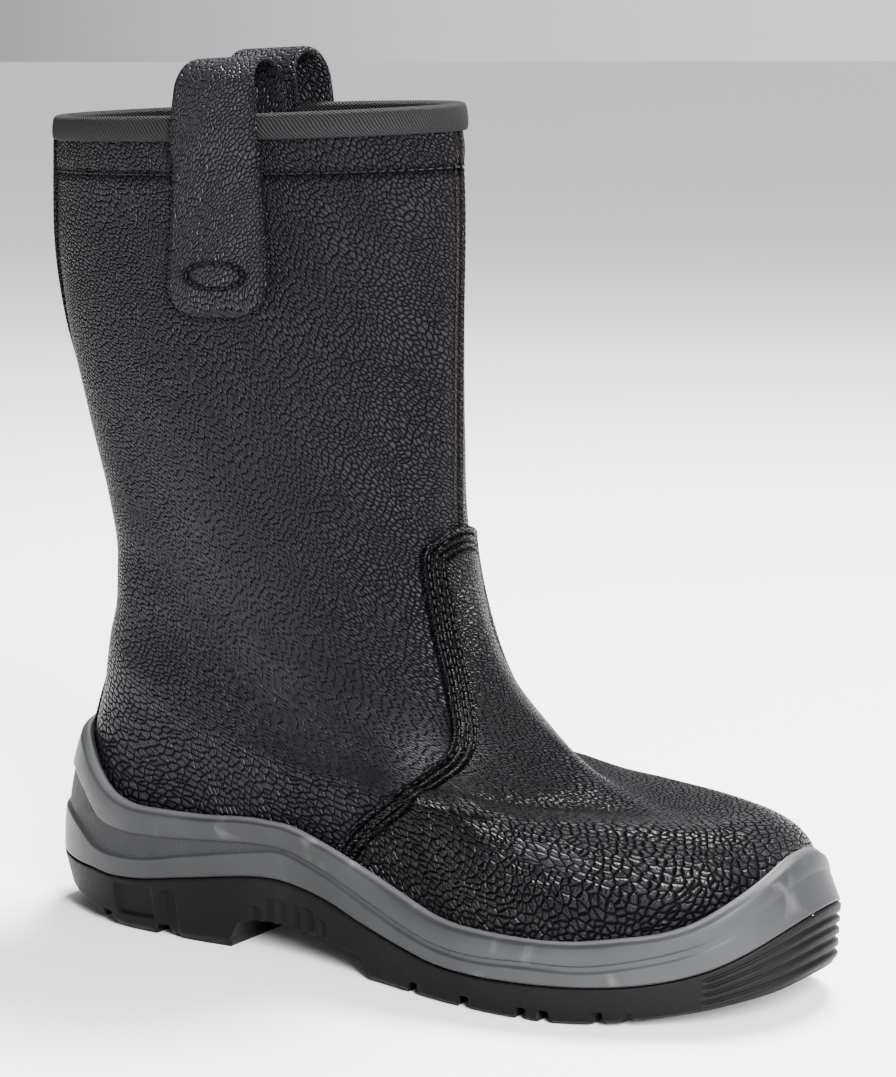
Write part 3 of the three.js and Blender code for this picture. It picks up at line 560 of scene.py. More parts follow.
seam_thread = thread_finish("seam thread", (0.004, 0.004, 0.0045, 1))
leg_stitches = bmesh.new()
front_levels = np.linspace(10.1, 13.6, 90)
for aside in (-SEAM_ROW_INSET, SEAM_ROW_INSET):
    row = on_leather(theta_beside(front_levels, True, aside), front_levels, 0.15)
    sew(leg_stitches, *row, 2.4, 1.9, 0.6)
around_collar = np.linspace(0, 2 * math.pi, 500)
sew(leg_stitches, *on_leather(around_collar, np.full(500, COLLAR_ROW_LEVEL), 0.1))
boot_piece("leg_stitches", leg_stitches, seam_thread, "leg_leather")

# Back strip
# A band of the same leather over the heel seam, folded under at both edges and sewn down
# twice. It narrows from the heel up to the collar.
STRIP_LEATHER = 1.4
STRIP_WIDTH = 15
STRIP_FOOT_WIDTH = 38
FIT_GAP = 0.3
STRIP_FOOT_LEVEL = 0.2
STRIP_TOP_LEVEL = 13.8
STRIP_EDGE = 1.2
STRIP_ROWS = (2, 4.6)
STRIP_ROW_DEPTH = 0.45


def strip_half(level):
    height = section["back_z"](level)
    places = [0, BED_HEIGHT, INSTEP_HEIGHT, COLLAR_HEIGHT]
    halves = [STRIP_FOOT_WIDTH / 2, STRIP_FOOT_WIDTH / 2, STRIP_WIDTH / 2, STRIP_WIDTH / 2]
    return smooth_curve(places, halves)(height)


def round_edge(inset, radius):
    """0 at an edge, 1 from a radius inwards and a quarter of a circle between them."""
    return np.sqrt(np.clip(1 - (1 - np.clip(inset / radius, 0, 1)) ** 2, 0, 1))


def strip_form(across, up):
    level = STRIP_FOOT_LEVEL + (STRIP_TOP_LEVEL - STRIP_FOOT_LEVEL) * up
    levels, which = np.unique(level.round(5), return_inverse=True)
    reach = np.linspace(-0.95, 0.95, 400)
    half = strip_half(levels)
    theta = np.zeros(len(level))
    from_edge = np.zeros(len(level))
    for i, one in enumerate(levels):
        row = leather_surface(reach, one)
        run = np.concatenate([[0], np.cumsum(np.linalg.norm(np.diff(row, axis=0), axis=1))])
        run -= np.interp(0, reach, run)
        mine = which.ravel() == i
        aside = (2 * across[mine] - 1) * half[i]
        theta[mine] = np.interp(aside, run, reach)
        from_edge[mine] = half[i] - np.abs(aside)
    sewn = sum(fading(from_edge - row, 0.5) for row in STRIP_ROWS)
    sunk = 0.2
    out = round_edge(from_edge, STRIP_EDGE) * (FIT_GAP + STRIP_LEATHER + sunk) - sunk
    # The sewn rows are kept for painted shade.
    kept = {"shaded_seam": 0.7 * sewn, "tint": np.full(len(level), 0.5)}
    return leather(theta, level, out - STRIP_ROW_DEPTH * sewn), kept


boot_piece("heel_seam_strip", formed_grid(60, 200, strip_form), leg_leather, "leg_leather", "back_strip")
strip_stitches = bmesh.new()
strip_levels = np.linspace(2.2, STRIP_TOP_LEVEL - 0.1, 120)
for inset in STRIP_ROWS:
    for side in (-1, 1):
        asides = side * (strip_half(strip_levels) - inset)
        thetas = [theta_beside(level, False, aside)[0] for level, aside in zip(strip_levels, asides)]
        thetas = np.array(thetas)
        path = leather(thetas, strip_levels, FIT_GAP + STRIP_LEATHER - 0.3)
        sew(strip_stitches, path, leather_facing(thetas, strip_levels), 2.6, 2.1, 0.6)
boot_piece("heel_strip_stitches", strip_stitches, seam_thread, "leg_leather")

# Vamp
# The foot's own panel of slightly shinier leather, with its tongue-shaped tip on the shin.
# Its edge is folded over into a bead and three rows of stitches hold it to the leg.
VAMP_LEATHER = 1.8
# Rows of stitches, told by their distance inside the folded edge.
VAMP_ROWS = (2.8, 5.5, 8.1)
VAMP_ROW_DEPTH = 0.85
VAMP_BEAD = 1.3
VAMP_BEAD_HEIGHT = 0.7
VAMP_CALM_EDGE = 14
VAMP_CALM_MIDDLE = 10
# The edge in side view, from the shin down to the sole: x along the sole, and height share.
VAMP_EDGE = [
    (0.59, 1.022), (0.562, 1.007), (0.553, 0.988), (0.545, 0.967), (0.537, 0.941), (0.535, 0.91),
    (0.537, 0.87), (0.547, 0.764), (0.56, 0.655), (0.582, 0.512), (0.595, 0.439), (0.597, 0.407),
    (0.589, 0.37), (0.558, 0.301), (0.529, 0.246), (0.5, 0.188), (0.471, 0.104), (0.433, -0.1),
]
vamp_edge_x = smooth_curve(
    leg_height([row[1] for row in VAMP_EDGE][::-1]), [row[0] * SOLE_LENGTH for row in VAMP_EDGE][::-1]
)


def edge_crossing(level, inner):
    """Theta at which the section of a level crosses the vamp's edge."""
    theta = np.linspace(0.02, math.pi, 900)
    row = leather_surface(2 * math.pi - theta if inner else theta, level)
    ahead = row[:, 0] - vamp_edge_x(row[:, 2])
    last = np.max(np.nonzero(ahead < 0)[0])
    if last >= len(theta) - 1:
        return math.pi
    share = ahead[last] / (ahead[last] - ahead[last + 1])
    found = theta[last] + share * (theta[last + 1] - theta[last])
    return 2 * math.pi - found if inner else found


tip_levels = np.linspace(9, 10.4, 400)
shin = leather_surface(math.pi, tip_levels)
VAMP_TIP = tip_levels[np.max(np.nonzero(shin[:, 0] > vamp_edge_x(shin[:, 2]))[0])]
VAMP_COLUMNS = 260
VAMP_LINES = 210
# Columns crowd into a band along the edge: shares of the grid, and the band's width.
VAMP_SHARES = (0, 0.17, 0.83, 1)
VAMP_BAND = 13


def vamp_level(up):
    return VAMP_TIP * (1 - (1 - up) ** 1.5) - 0.15 * (1 - up)


vamp_runs = []
for line in range(VAMP_LINES + 1):
    level_here = float(vamp_level(line / VAMP_LINES))
    turns = np.linspace(edge_crossing(level_here, False), edge_crossing(level_here, True), 700)
    row_points = leather_surface(turns, level_here)
    steps = np.linalg.norm(np.diff(row_points, axis=0), axis=1)
    vamp_runs.append((turns, np.concatenate([[0], np.cumsum(steps)])))


def vamp_turn(across, up):
    """Theta of the vamp's grid: lines close to the edge lie close together."""
    theta = np.zeros(len(across))
    lines = np.rint(up * VAMP_LINES)
    for line, (turns, run) in enumerate(vamp_runs):
        mine = lines == line
        band = min(VAMP_BAND, 0.3 * run[-1])
        lengths = np.interp(across[mine], VAMP_SHARES, [0, band, run[-1] - band, run[-1]])
        theta[mine] = np.interp(lengths, run, turns)
    return theta


outline = [
    leather_surface([turns[0], turns[-1]], float(vamp_level(line / VAMP_LINES)))
    for line, (turns, _) in enumerate(vamp_runs)
]
outline = np.concatenate([[pair[0] for pair in outline], [pair[1] for pair in outline][::-1]])
outline_run = np.concatenate([[0], np.cumsum(np.linalg.norm(np.diff(outline, axis=0), axis=1))])
fine_run = np.arange(0, outline_run[-1], 0.3)
vamp_outline = np.stack([np.interp(fine_run, outline_run, outline[:, k]) for k in range(3)], axis=1)


def from_vamp_edge(points):
    """How far each point is from the vamp's outline, worked out some points at a time."""
    parts = np.array_split(points, len(points) // 2000 + 1)
    return np.concatenate(
        [np.linalg.norm(part[:, None] - vamp_outline[None], axis=2).min(axis=1) for part in parts]
    )


# Soft forms of the vamp on its outer side: hollows and swells, told as the leg's folds are.
VAMP_FOLDS = [
    (182, 118, 215, 72, 9, -2.3),
    (170, 92, 196, 66, 8, 1.9),
    (205, 58, 258, 50, 10, -2.4),
    (190, 44, 240, 32, 9, 1.5),
    (262, 52, 286, 44, 8, -1.2),
    (176, 140, 178, 110, 5, -0.7),
]


def vamp_form(across, up):
    theta = vamp_turn(across, up)
    level = vamp_level(up)
    flat = leather_surface(theta, level)
    away = from_vamp_edge(flat)
    aside = flat[:, 1]
    sewn = sum(fading(away - row, 0.6) for row in VAMP_ROWS)
    calm = np.clip(away / VAMP_CALM_EDGE, 0, 1) * np.clip(np.abs(aside) / VAMP_CALM_MIDDLE, 0, 1)
    folds = folds_over(flat, VAMP_FOLDS) * np.where(aside < 0, 1, 0.7) * calm
    sunk = 0.4
    out = round_edge(away, VAMP_BEAD) * (FIT_GAP + VAMP_LEATHER + sunk) - sunk
    out += VAMP_BEAD_HEIGHT * fading(away - 1.1, 0.8) - VAMP_ROW_DEPTH * sewn + folds
    # The three stitch rows are kept for painted shade.
    kept = {"shaded_seam": np.clip(VAMP_ROW_DEPTH * sewn, 0, 1), **leather_grain(theta, level)}
    return leather(theta, level, out), kept


vamp_leather = pebbled_leather(
    "vamp leather", (0.0018, 0.0018, 0.0026), 0.36, 0.14, (0.52, 0.68), -0.3, 0.0008
)
vamp_mesh = formed_grid(VAMP_COLUMNS, VAMP_LINES, vamp_form)
boot_piece("vamp_panel", vamp_mesh, vamp_leather, "vamp_leather", "vamp")
vamp_stitches = bmesh.new()
for inset in VAMP_ROWS:
    for end in (0, -1):
        thetas, levels = [], []
        for line, (turns, run) in enumerate(vamp_runs):
            at = inset if end == 0 else run[-1] - inset
            if run[-1] > 4 * inset + 2.4:
                thetas.append(np.interp(at, run, turns))
                levels.append(float(vamp_level(line / VAMP_LINES)))
        thetas, levels = np.array(thetas), np.array(levels)
        path = leather(thetas, levels, FIT_GAP + VAMP_LEATHER - 0.35)
        sew(vamp_stitches, path, leather_facing(thetas, levels), 3.0, 2.4, 0.8)
boot_piece("vamp_stitches", vamp_stitches, seam_thread, "vamp_leather")

# Collar binding
# A strip of ribbed black webbing folded over the rim, with an inner leg over the lining.
BINDING_DEPTH = 7
BINDING_THICKNESS = 1.5
TOP_PITCH = float(np.diff(section["back_z"]([TOP_LEVEL - 1, TOP_LEVEL]))[0])
# Half way round the fold: rise above the rim and distance out from the leather's face.
BINDING_FACE = FIT_GAP + BINDING_THICKNESS
BINDING_FOLD = [
    (-BINDING_DEPTH, 0.1), (-BINDING_DEPTH, 1.2), (-BINDING_DEPTH + 0.6, BINDING_FACE),
    (-4, BINDING_FACE + 0.3), (-0.5, BINDING_FACE), (1.1, 0.7 * BINDING_FACE), (BINDING_FACE, -0.4),
    (BINDING_FACE, -2.2), (1.1, -UPPER_WALL - 0.7 * BINDING_FACE), (-0.5, -UPPER_WALL - BINDING_FACE),
    (-4, -UPPER_WALL - BINDING_FACE - 0.2), (-BINDING_DEPTH + 0.6, -UPPER_WALL - BINDING_FACE),
    (-BINDING_DEPTH, -UPPER_WALL - 1.2), (-BINDING_DEPTH, -UPPER_WALL - 0.1),
]


def binding_form(across, up):
    theta = 2 * math.pi * across
    places = np.linspace(0, 1, len(BINDING_FOLD))
    rise = smooth_curve(places, [row[0] for row in BINDING_FOLD])(up)
    out = smooth_curve(places, [row[1] for row in BINDING_FOLD])(up)
    return leather(theta, TOP_LEVEL + rise / TOP_PITCH, out)


binding = Finish("ribbed binding")
ribs = binding.add(
    "ShaderNodeTexWave",
    {"wave_type": "BANDS", "bands_direction": "DIAGONAL"},
    {"Vector": binding.surface_place((230, 18, 1)), "Scale": 0.85, "Distortion": 1.2},
    "Fac",
)
fuzz = binding.noise(binding.object_place(), 1400, 3)
binding.feed(
    binding.shader,
    {
        "Base Color": binding.mix(
            ribs * 0.6 + fuzz * 0.4, (0.004, 0.0037, 0.004, 1), (0.015, 0.0138, 0.015, 1)
        ),
        "Roughness": 0.72,
        "Specular IOR Level": 0.2,
        "Normal": binding.bump(ribs * 0.7 + fuzz * 0.3, 0.0004),
    },
)
# Painted shade in the grooves between the ribs.
binding.shade(0.5 - ribs * 0.5)
binding_mesh = formed_grid(420, 40, binding_form)
boot_piece("rolled_binding", binding_mesh, binding.material, "binding_fabric", "collar_binding")

# Lining
# Dark fleece glued to the inside of the leg, seen round the rim and down the shaft. Its pile
# lies in small tufts.
LINING_LEVELS = (0.4, TOP_LEVEL - 0.45)
LINING_OFF = 0.18
PILE_HEIGHT = 0.12


def lining_form(across, up):
    theta = 2 * math.pi * across
    level = LINING_LEVELS[0] + (LINING_LEVELS[1] - LINING_LEVELS[0]) * up
    pile = PILE_HEIGHT * np.sin(97 * theta + 31 * level) * np.sin(61 * theta - 47 * level)
    return leather(theta, level, -UPPER_WALL - LINING_OFF + pile)


fleece = Finish("fleece lining")
tufts = fleece.noise(fleece.drifted(fleece.object_place(), 300, 0.003), 420, 4)
fleece.feed(
    fleece.shader,
    {
        "Base Color": fleece.mix(
            tufts.between(0.35, 0.65), (0.003, 0.0026, 0.0024, 1), (0.018, 0.0155, 0.014, 1)
        ),
        "Roughness": 0.95,
        "Normal": fleece.bump(tufts, 0.0016),
    },
)
boot_piece("fleece_lining", formed_grid(240, 120, lining_form), fleece.material, "insole_fabric")

# Pull loops
# Straps of the leg's leather, sewn to its outside, arched over the rim and tucked inside.
# An eye-shaped ring of stitches holds the wide lower end.
LOOP_WIDTH = 36
LOOP_END_WIDTH = 44
LOOP_SWAY = 4
LOOP_THICKNESS = 2.4
LOOP_LIFT = 20
LOOP_SPAN = 20
LOOP_DROP = 66
LOOP_TUCK = 42
LOOP_PLACES = {"outer": 0.527, "inner": 0.482}
half_strap = LOOP_THICKNESS / 2
over_binding = 2 * FIT_GAP + BINDING_THICKNESS + half_strap
LOOP_SEAT = {
    "leather": FIT_GAP + half_strap,
    "binding": over_binding,
    "shoulder": over_binding - 0.15 * LOOP_SPAN,
    "crown": over_binding - 0.5 * LOOP_SPAN,
    "hollow": over_binding - 0.85 * LOOP_SPAN,
    "span": over_binding - LOOP_SPAN,
    "lining": -UPPER_WALL - FIT_GAP - half_strap,
}
# The strap's way: drop down the leg, lift above the rim and tuck inside, each a share of its
# size, then what it lies on and the share of its width.
LOOP_PATH = [
    (1, 0, 0, "leather", 0.42), (0.96, 0, 0, "leather", 0.76), (0.88, 0, 0, "leather", 0.96),
    (0.75, 0, 0, "leather", 1), (0.5, 0, 0, "leather", 1), (0.25, 0, 0, "leather", 1),
    (0.12, 0, 0, "binding", 1), (0, 0, 0, "binding", 1), (0, 0.5, 0, "binding", 0.95),
    (0, 0.86, 0, "shoulder", 0.88), (0, 1, 0, "crown", 0.86), (0, 0.86, 0, "hollow", 0.88),
    (0, 0.5, 0, "span", 0.95), (0, 0, 0, "span", 1), (0, 0, 0.3, "hollow", 1),
    (0, 0, 0.65, "lining", 1), (0, 0, 1, "lining", 0.8),
]
path_places = np.arange(len(LOOP_PATH))
loop_rise = smooth_curve(
    path_places,
    [lift * LOOP_LIFT - drop * LOOP_DROP - tuck * LOOP_TUCK for drop, lift, tuck, _, _ in LOOP_PATH],
)
loop_out = smooth_curve(path_places, [LOOP_SEAT[on] for _, _, _, on, _ in LOOP_PATH])
loop_width = smooth_curve(
    path_places,
    [width * (LOOP_WIDTH + (LOOP_END_WIDTH - LOOP_WIDTH) * drop) for drop, _, _, _, width in LOOP_PATH],
)
loop_sway = smooth_curve(path_places, [row[0] * LOOP_SWAY for row in LOOP_PATH])


def strap_point(side, at, share, thick):
    """A point of a strap: along its way, across it from -1 to 1, and through its thickness."""
    upwards = loop_rise(at + 0.01) - loop_rise(at - 0.01)
    outwards = loop_out(at + 0.01) - loop_out(at - 0.01)
    length = np.hypot(upwards, outwards)
    rise = loop_rise(at) - outwards / length * thick
    out = loop_out(at) + upwards / length * thick
    level = TOP_LEVEL + rise / TOP_PITCH
    back, front = (section[name](np.array([TOP_LEVEL])) for name in ("back_x", "front_x"))
    centre = back + (front - back) * LOOP_PLACES[side]
    turn = -1 if side == "inner" else 1
    x = centre + loop_sway(at) + turn * share * loop_width(at) / 2
    back, front = section["back_x"](level), section["front_x"](level)
    theta = np.arccos(1 - 2 * np.clip((x - back) / (front - back), 0, 1))
    return leather(2 * math.pi - theta if side == "inner" else theta, level, out)


# The ring of stitches: its height, half width as a share of the strap's, half rise and depth.
EYE_HEIGHT = -0.79 * LOOP_DROP
EYE_HALF_WIDTH = 0.56
EYE_HALF_RISE = 4.4
EYE_DEPTH = 0.55
EYE_PAD = 0.5
# Place on the strap's way where it leaves the leg.
OVER_RIM = 6


def strap_form(side):
    def form(across, up):
        outward = np.where(across < 0.5, 1, -1)
        flat = outward * (1 - 4 * np.where(across < 0.5, across, across - 0.5))
        thick = outward * half_strap * np.clip(1 - np.abs(flat) ** 12, 0, 1) ** 0.4
        ends = np.clip(np.minimum(up, 1 - up) / 0.004, 0, 1)
        at = up * (len(LOOP_PATH) - 1)
        from_eye = np.hypot(flat / EYE_HALF_WIDTH, (loop_rise(at) - EYE_HEIGHT) / EYE_HALF_RISE)
        from_eye = np.where(at < OVER_RIM, from_eye, 9)
        ring = fading(from_eye - 1, 0.16) * (thick > 0)
        rim = fading(np.abs(flat) - 0.93, 0.04) * (thick > 0)
        pad = fading(from_eye, 0.8) * (thick > 0)
        thick = thick * ends + EYE_PAD * pad - EYE_DEPTH * ring
        # The ring of stitches and the strap's edges are kept for painted shade.
        return strap_point(side, at, flat, thick), {"shaded_seam": np.clip(0.9 * ring + 0.4 * rim, 0, 1)}

    return form


strap_leather = pebbled_leather(
    "strap leather", (0.0125, 0.012, 0.0152), 0.3, 0.18, (0.8, 0.42), 0.6, 0.0006
)
strap_stitches = bmesh.new()
for side in ("outer", "inner"):
    strap = formed_grid(96, 360, strap_form(side))
    boot_piece(f"{side}_strap", strap, strap_leather, "loop_leather", f"pull_loop_{side}")
    turn = np.linspace(0, 2 * math.pi, 80)
    share = EYE_HALF_WIDTH * np.cos(turn)
    climb = np.linspace(0, OVER_RIM, 200)
    at = np.interp(EYE_HEIGHT + EYE_HALF_RISE * np.sin(turn), loop_rise(climb), climb)
    path = strap_point(side, at, share, np.full(80, half_strap + 0.1))
    outer_face = strap_point(side, at, share, np.full(80, half_strap + 1.1))
    sew(strap_stitches, path, unit(outer_face - path), 2.8, 2.2, 0.7)
boot_piece("strap_stitches", strap_stitches, seam_thread, "loop_leather")

# Midsole
# A cup of grey moulded foam. It has a thin flash line at its lip, a soft roll below it, a
# stippled band round the heel that runs on as a groove, and it climbs into a toe bumper.
SOLE_LIP = 2.4
LIP_ROLL = 1.2
BAND_RECESS = 1.2
FOOT_COVER = VAMP_LEATHER + 2 * FIT_GAP
BUMPER_START = 0.9
HALVINGS = 26
# Shares of the midsole's grid where its foot is tucked in and where its rim begins.
TUCK_END = 0.06
RIM_START = 0.84
# Heights on the sole's side, as shares of the bed's height: place along the sole, joint,
# lower and upper edge of the band, lip, and how deep the band is.
SOLE_SIDE = [
    (0, 0.672, 1.219, 1.719, 2.234, 1), (0.05, 0.672, 1.203, 1.672, 2.047, 1),
    (0.08, 0.662, 1.094, 1.5, 1.828, 1), (0.11, 0.65, 0.931, 1.266, 1.609, 1),
    (0.14, 0.619, 0.875, 1.188, 1.509, 1), (0.18, 0.637, 0.884, 1.172, 1.484, 1),
    (0.26, 0.756, 1.028, 1.219, 1.5, 1), (0.35, 0.881, 1.181, 1.284, 1.569, 1),
    (0.385, 0.9, 1.234, 1.291, 1.569, 0.8), (0.45, 0.803, 1.081, 1.144, 1.431, 0.6),
    (0.51, 0.613, 0.85, 0.919, 1.219, 0.6), (0.57, 0.475, 0.662, 0.731, 1.022, 0.6),
    (0.62, 0.394, 0.562, 0.625, 0.894, 0.6), (0.67, 0.372, 0.531, 0.594, 0.856, 0.6),
    (0.74, 0.388, 0.566, 0.631, 0.856, 0.6), (0.81, 0.409, 0.575, 0.644, 0.875, 0.6),
    (0.86, 0.456, 0.656, 0.725, 0.938, 0.6), (0.9, 0.535, 0.75, 0.82, 1, 0.6),
    (0.93, 0.637, 0.86, 0.93, 1.11, 0.3), (0.96, 0.8, 1.03, 1.12, 1.31, 0),
    (1, 1.1, 1.3, 1.43, 1.65, 0),
]
side_places = [row[0] for row in SOLE_SIDE]
joint, band_low, band_high, lip = (
    smooth_curve(side_places, [BED_HEIGHT * row[k] for row in SOLE_SIDE]) for k in (1, 2, 3, 4)
)
band_depth = smooth_curve(side_places, [BAND_RECESS * row[5] for row in SOLE_SIDE])


def sole_outline(theta, out):
    """The sole's outline in plan, moved out."""
    def plan(angle):
        along = 0.5 - 0.5 * np.cos(angle)
        half = BALL_WIDTH / 2 * sole_fullness(along) * np.sin(angle)
        return np.stack([SOLE_LENGTH * along, BALL_WIDTH / 2 * sole_centre(along) - half, 0 * along], axis=1)

    step = 0.01
    ahead = unit(plan(theta + step) - plan(theta - step))
    facing = np.stack([ahead[:, 1], -ahead[:, 0], 0 * theta], axis=1)
    return plan(theta) + np.ravel(out)[:, None] * facing


def level_at(theta, height):
    """The upper's level at a height, found by halving."""
    low, high = np.full(len(theta), -1.0), np.full(len(theta), TOP_LEVEL / 2)
    for _ in range(HALVINGS):
        middle = (low + high) / 2
        below = leather_surface(theta, middle)[:, 2] < height
        low, high = np.where(below, middle, low), np.where(below, high, middle)
    return low


def even_turn(across):
    """Theta that goes round the sole at an even pace."""
    theta = np.linspace(0, 2 * math.pi, 2000)
    steps = np.linalg.norm(np.diff(sole_outline(theta, 0 * theta), axis=0), axis=1)
    run = np.concatenate([[0], np.cumsum(steps)])
    return np.interp(across * run[-1], run, theta)


def midsole_form(across, up):
    theta = even_turn(across)
    along = 0.5 - 0.5 * np.cos(theta)
    low, high = joint(along) + FIT_GAP, lip(along)
    wall = np.clip((up - TUCK_END) / (RIM_START - TUCK_END), 0, 1)
    rim = np.clip((up - RIM_START) / (1 - RIM_START), 0, 1)
    height = low + (high - low) * wall
    foot = leather(theta, level_at(theta, high), FOOT_COVER + SOLE_LIP)
    inner = leather(theta, level_at(theta, high), FIT_GAP + 0.2)
    rise = (height - joint(along)) / (high - joint(along))
    above_low = soft_step(height, band_low(along) - 0.5, band_low(along) + 0.5)
    above_band = soft_step(height, band_high(along) - 0.5, band_high(along) + 0.5)
    in_band = above_low * (1 - above_band)
    over_band = np.clip((height - band_high(along)) / (high - band_high(along)), 0, 1)
    swell = 0.5 * np.sin(math.pi * over_band)
    roll = LIP_ROLL * soft_step(height, high - 1.6, high) + 0.6 * (1 - soft_step(height, low, low + 0.8))
    out = swell * soft_step(along, 0.02, 0.1) - band_depth(along) * in_band - roll
    drawn = (np.clip(rise, 0, 1) ** (2 - soft_step(along, BUMPER_START, 1)))[:, None]
    moved = sole_outline(theta, out) - sole_outline(theta, 0 * out)
    points = sole_outline(theta, 0 * out) * (1 - drawn) + foot * drawn + moved
    points[:, 2] = height
    tucked = sole_outline(theta, np.full(len(theta), -6.0))
    tucked[:, 2] = low
    under = soft_step(up, 0, TUCK_END)[:, None]
    points = tucked * (1 - under) + points * under
    topped = points * (1 - rim)[:, None] + inner * rim[:, None]
    topped[:, 2] = high + 0.5 * np.sin(math.pi * np.clip(rim * 1.6, 0, 1)) - 1.5 * soft_step(rim, 0.6, 1)
    points = np.where((up > RIM_START)[:, None], topped, points)
    flash = soft_step(up, 0.8, RIM_START) * (1 - soft_step(up, 0.9, 0.96))
    return points, {"band": in_band * (along < 0.4), "flash": flash}


foam = Finish("grey midsole foam")
foam_place = foam.object_place()
stipple = foam.noise(foam_place, 1500, 1)
skin = foam.noise(foam_place, 300, 3)
clouds = foam.noise(foam_place, 22, 4).between(0.35, 0.75)
scuffs = foam.noise(foam.drifted(foam_place, 60, 0.02), 75, 5).between(0.58, 0.72)
band_mask = foam.kept("band")
flash_mask = foam.kept("flash")
foam_colour = foam.mix(clouds, (0.012, 0.0127, 0.0137, 1), (0.021, 0.022, 0.0238, 1))
foam_colour = foam.mix(scuffs * 0.4, foam_colour, (0.08, 0.08, 0.08, 1))
foam_colour = foam.mix(flash_mask * (0.35 + scuffs * 0.6), foam_colour, (0.13, 0.132, 0.135, 1))
foam_colour = foam.mix(band_mask * stipple * 0.5, foam_colour, (0.009, 0.0095, 0.01, 1))
foam.feed(
    foam.shader,
    {
        "Base Color": foam_colour,
        "Roughness": 0.42 + skin * 0.12 + band_mask * 0.2,
        "Specular IOR Level": 0.3,
        "Normal": foam.bump(skin * 0.15 + band_mask * stipple * 1.4, 0.0003),
    },
)
midsole_mesh = formed_grid(560, 90, midsole_form)
boot_piece("midsole_cup", midsole_mesh, foam.material, "midsole_foam", "midsole")

# Outsole
# A black rubber tread unit. Its lugs are parted by grooves round a plain spine, the arch is
# ribbed, the heel has a panel and a channel, and ridges run round the toe.
LUG_DEPTH = 4.5
GROOVE_WIDTH = 4.5
SPINE_WIDTH = 18
TREAD_CHAMFER = 1.5
SIDE_CUT = 1.2
TOP_ROUND = 0.5
# Share of the outsole's grid where its side ends and its underside begins.
SIDE_END = 0.45
# Place along the sole, then the tread's height off the floor and its draw inwards, as shares.
SOLE_TREAD = [
    (0, 0.3, 0.05), (0.05, 0.23, 0.06), (0.1, 0.11, 0.07), (0.14, 0.015, 0.07), (0.16, 0, 0.07),
    (0.33, 0, 0.07), (0.42, 0, 0.03), (0.52, 0, 0.01), (0.76, 0, 0.01), (0.83, 0.04, 0.015),
    (0.88, 0.11, 0.02), (0.92, 0.18, 0.02), (0.95, 0.25, 0.02), (0.98, 0.33, 0.02), (1, 0.42, 0.02),
]
# Place along the sole and height of the arch's roof, as shares.
ARCH = [
    (0.305, -0.1), (0.31, 0.1), (0.322, 0.3), (0.34, 0.37), (0.37, 0.39), (0.405, 0.4),
    (0.45, 0.35), (0.485, 0.3), (0.51, 0.24), (0.519, 0.18), (0.522, -0.1),
]
# Place along the sole, width and climb as shares, and slant in degrees.
LUG_GROOVES = [
    (0.128, 1.1, 1, 0), (0.213, 1.4, 1, 0), (0.569, 1, 1, 8), (0.64, 1, 1, 8), (0.724, 1, 1, 4),
    (0.762, 1, 1, 0), (0.841, 0.9, 1, -8), (0.886, 0.7, 0.8, -14),
]
# Shallow cuts in the side: from and to along the sole, low and high up to the joint.
SIDE_CUTS = [
    (0.148, 0.203, 0.32, 0.86), (0.22, 0.238, -0.2, 0.8), (0.343, 0.356, -0.2, 0.62),
    (0.363, 0.377, -0.2, 0.73), (0.384, 0.398, -0.2, 0.76), (0.405, 0.419, -0.2, 0.77),
    (0.426, 0.439, -0.2, 0.76), (0.446, 0.458, -0.2, 0.7), (0.92, 1.05, 0.2, 0.26),
    (0.92, 1.05, 0.4, 0.46), (0.92, 1.05, 0.6, 0.66), (0.92, 1.05, 0.78, 0.84),
]
tread_places = [row[0] for row in SOLE_TREAD]
tread_height = smooth_curve(tread_places, [BED_HEIGHT * row[1] for row in SOLE_TREAD])
tread_taper = smooth_curve(tread_places, [BALL_WIDTH / 2 * row[2] for row in SOLE_TREAD])


def under_height(x, y):
    """Height of the outsole's underside: the tread, the arch or the bottom of a groove."""
    along = x / SOLE_LENGTH
    ground = np.maximum(0, tread_height(along))
    arch = np.interp(along, [row[0] for row in ARCH], [row[1] for row in ARCH])
    height = np.maximum(ground, arch * BED_HEIGHT)
    middle = BALL_WIDTH / 2 * sole_centre(along)
    aside = np.abs(y - middle)
    for place, wide, climb, slant in LUG_GROOVES:
        away = np.abs(x - place * SOLE_LENGTH - aside * math.tan(math.radians(slant)))
        half = wide * GROOVE_WIDTH / 2
        inside = 1 - soft_step(away, half - 0.4, half + 0.4)
        inside *= soft_step(aside, SPINE_WIDTH / 2 - 0.5, SPINE_WIDTH / 2 + 0.5)
        height = np.maximum(height, ground + climb * LUG_DEPTH * inside)
    return height


def soft_window(values, low, high, soft):
    """1 between two values and 0 outside them."""
    return soft_step(values, low - soft, low + soft) * (1 - soft_step(values, high - soft, high + soft))


def outsole_form(across, up):
    theta = even_turn(across)
    along = 0.5 - 0.5 * np.cos(theta)
    wall = np.clip(up / SIDE_END, 0, 1)
    under = np.clip((up - SIDE_END) / (1 - SIDE_END), 0, 1)
    top = joint(along)
    ground = np.maximum(0, tread_height(along))
    height = top + (ground - top) * wall
    cut = np.zeros(len(along))
    for start, end, low, high in SIDE_CUTS:
        inside = soft_window(along, start, end, 0.0015) * soft_window(1 - wall, low, high, 0.03)
        cut = np.maximum(cut, inside)
    out = -tread_taper(along) * wall - TREAD_CHAMFER * soft_step(wall, 0.86, 1) - SIDE_CUT * cut
    out -= TOP_ROUND * (1 - soft_step(wall, 0, 0.03))
    points = sole_outline(theta, out)
    middle = BALL_WIDTH / 2 * sole_centre(points[:, 0] / SOLE_LENGTH)
    points[:, 1] = middle + (points[:, 1] - middle) * (1 - under)
    points[:, 2] = np.maximum(height, under_height(points[:, 0], points[:, 1]))
    return points


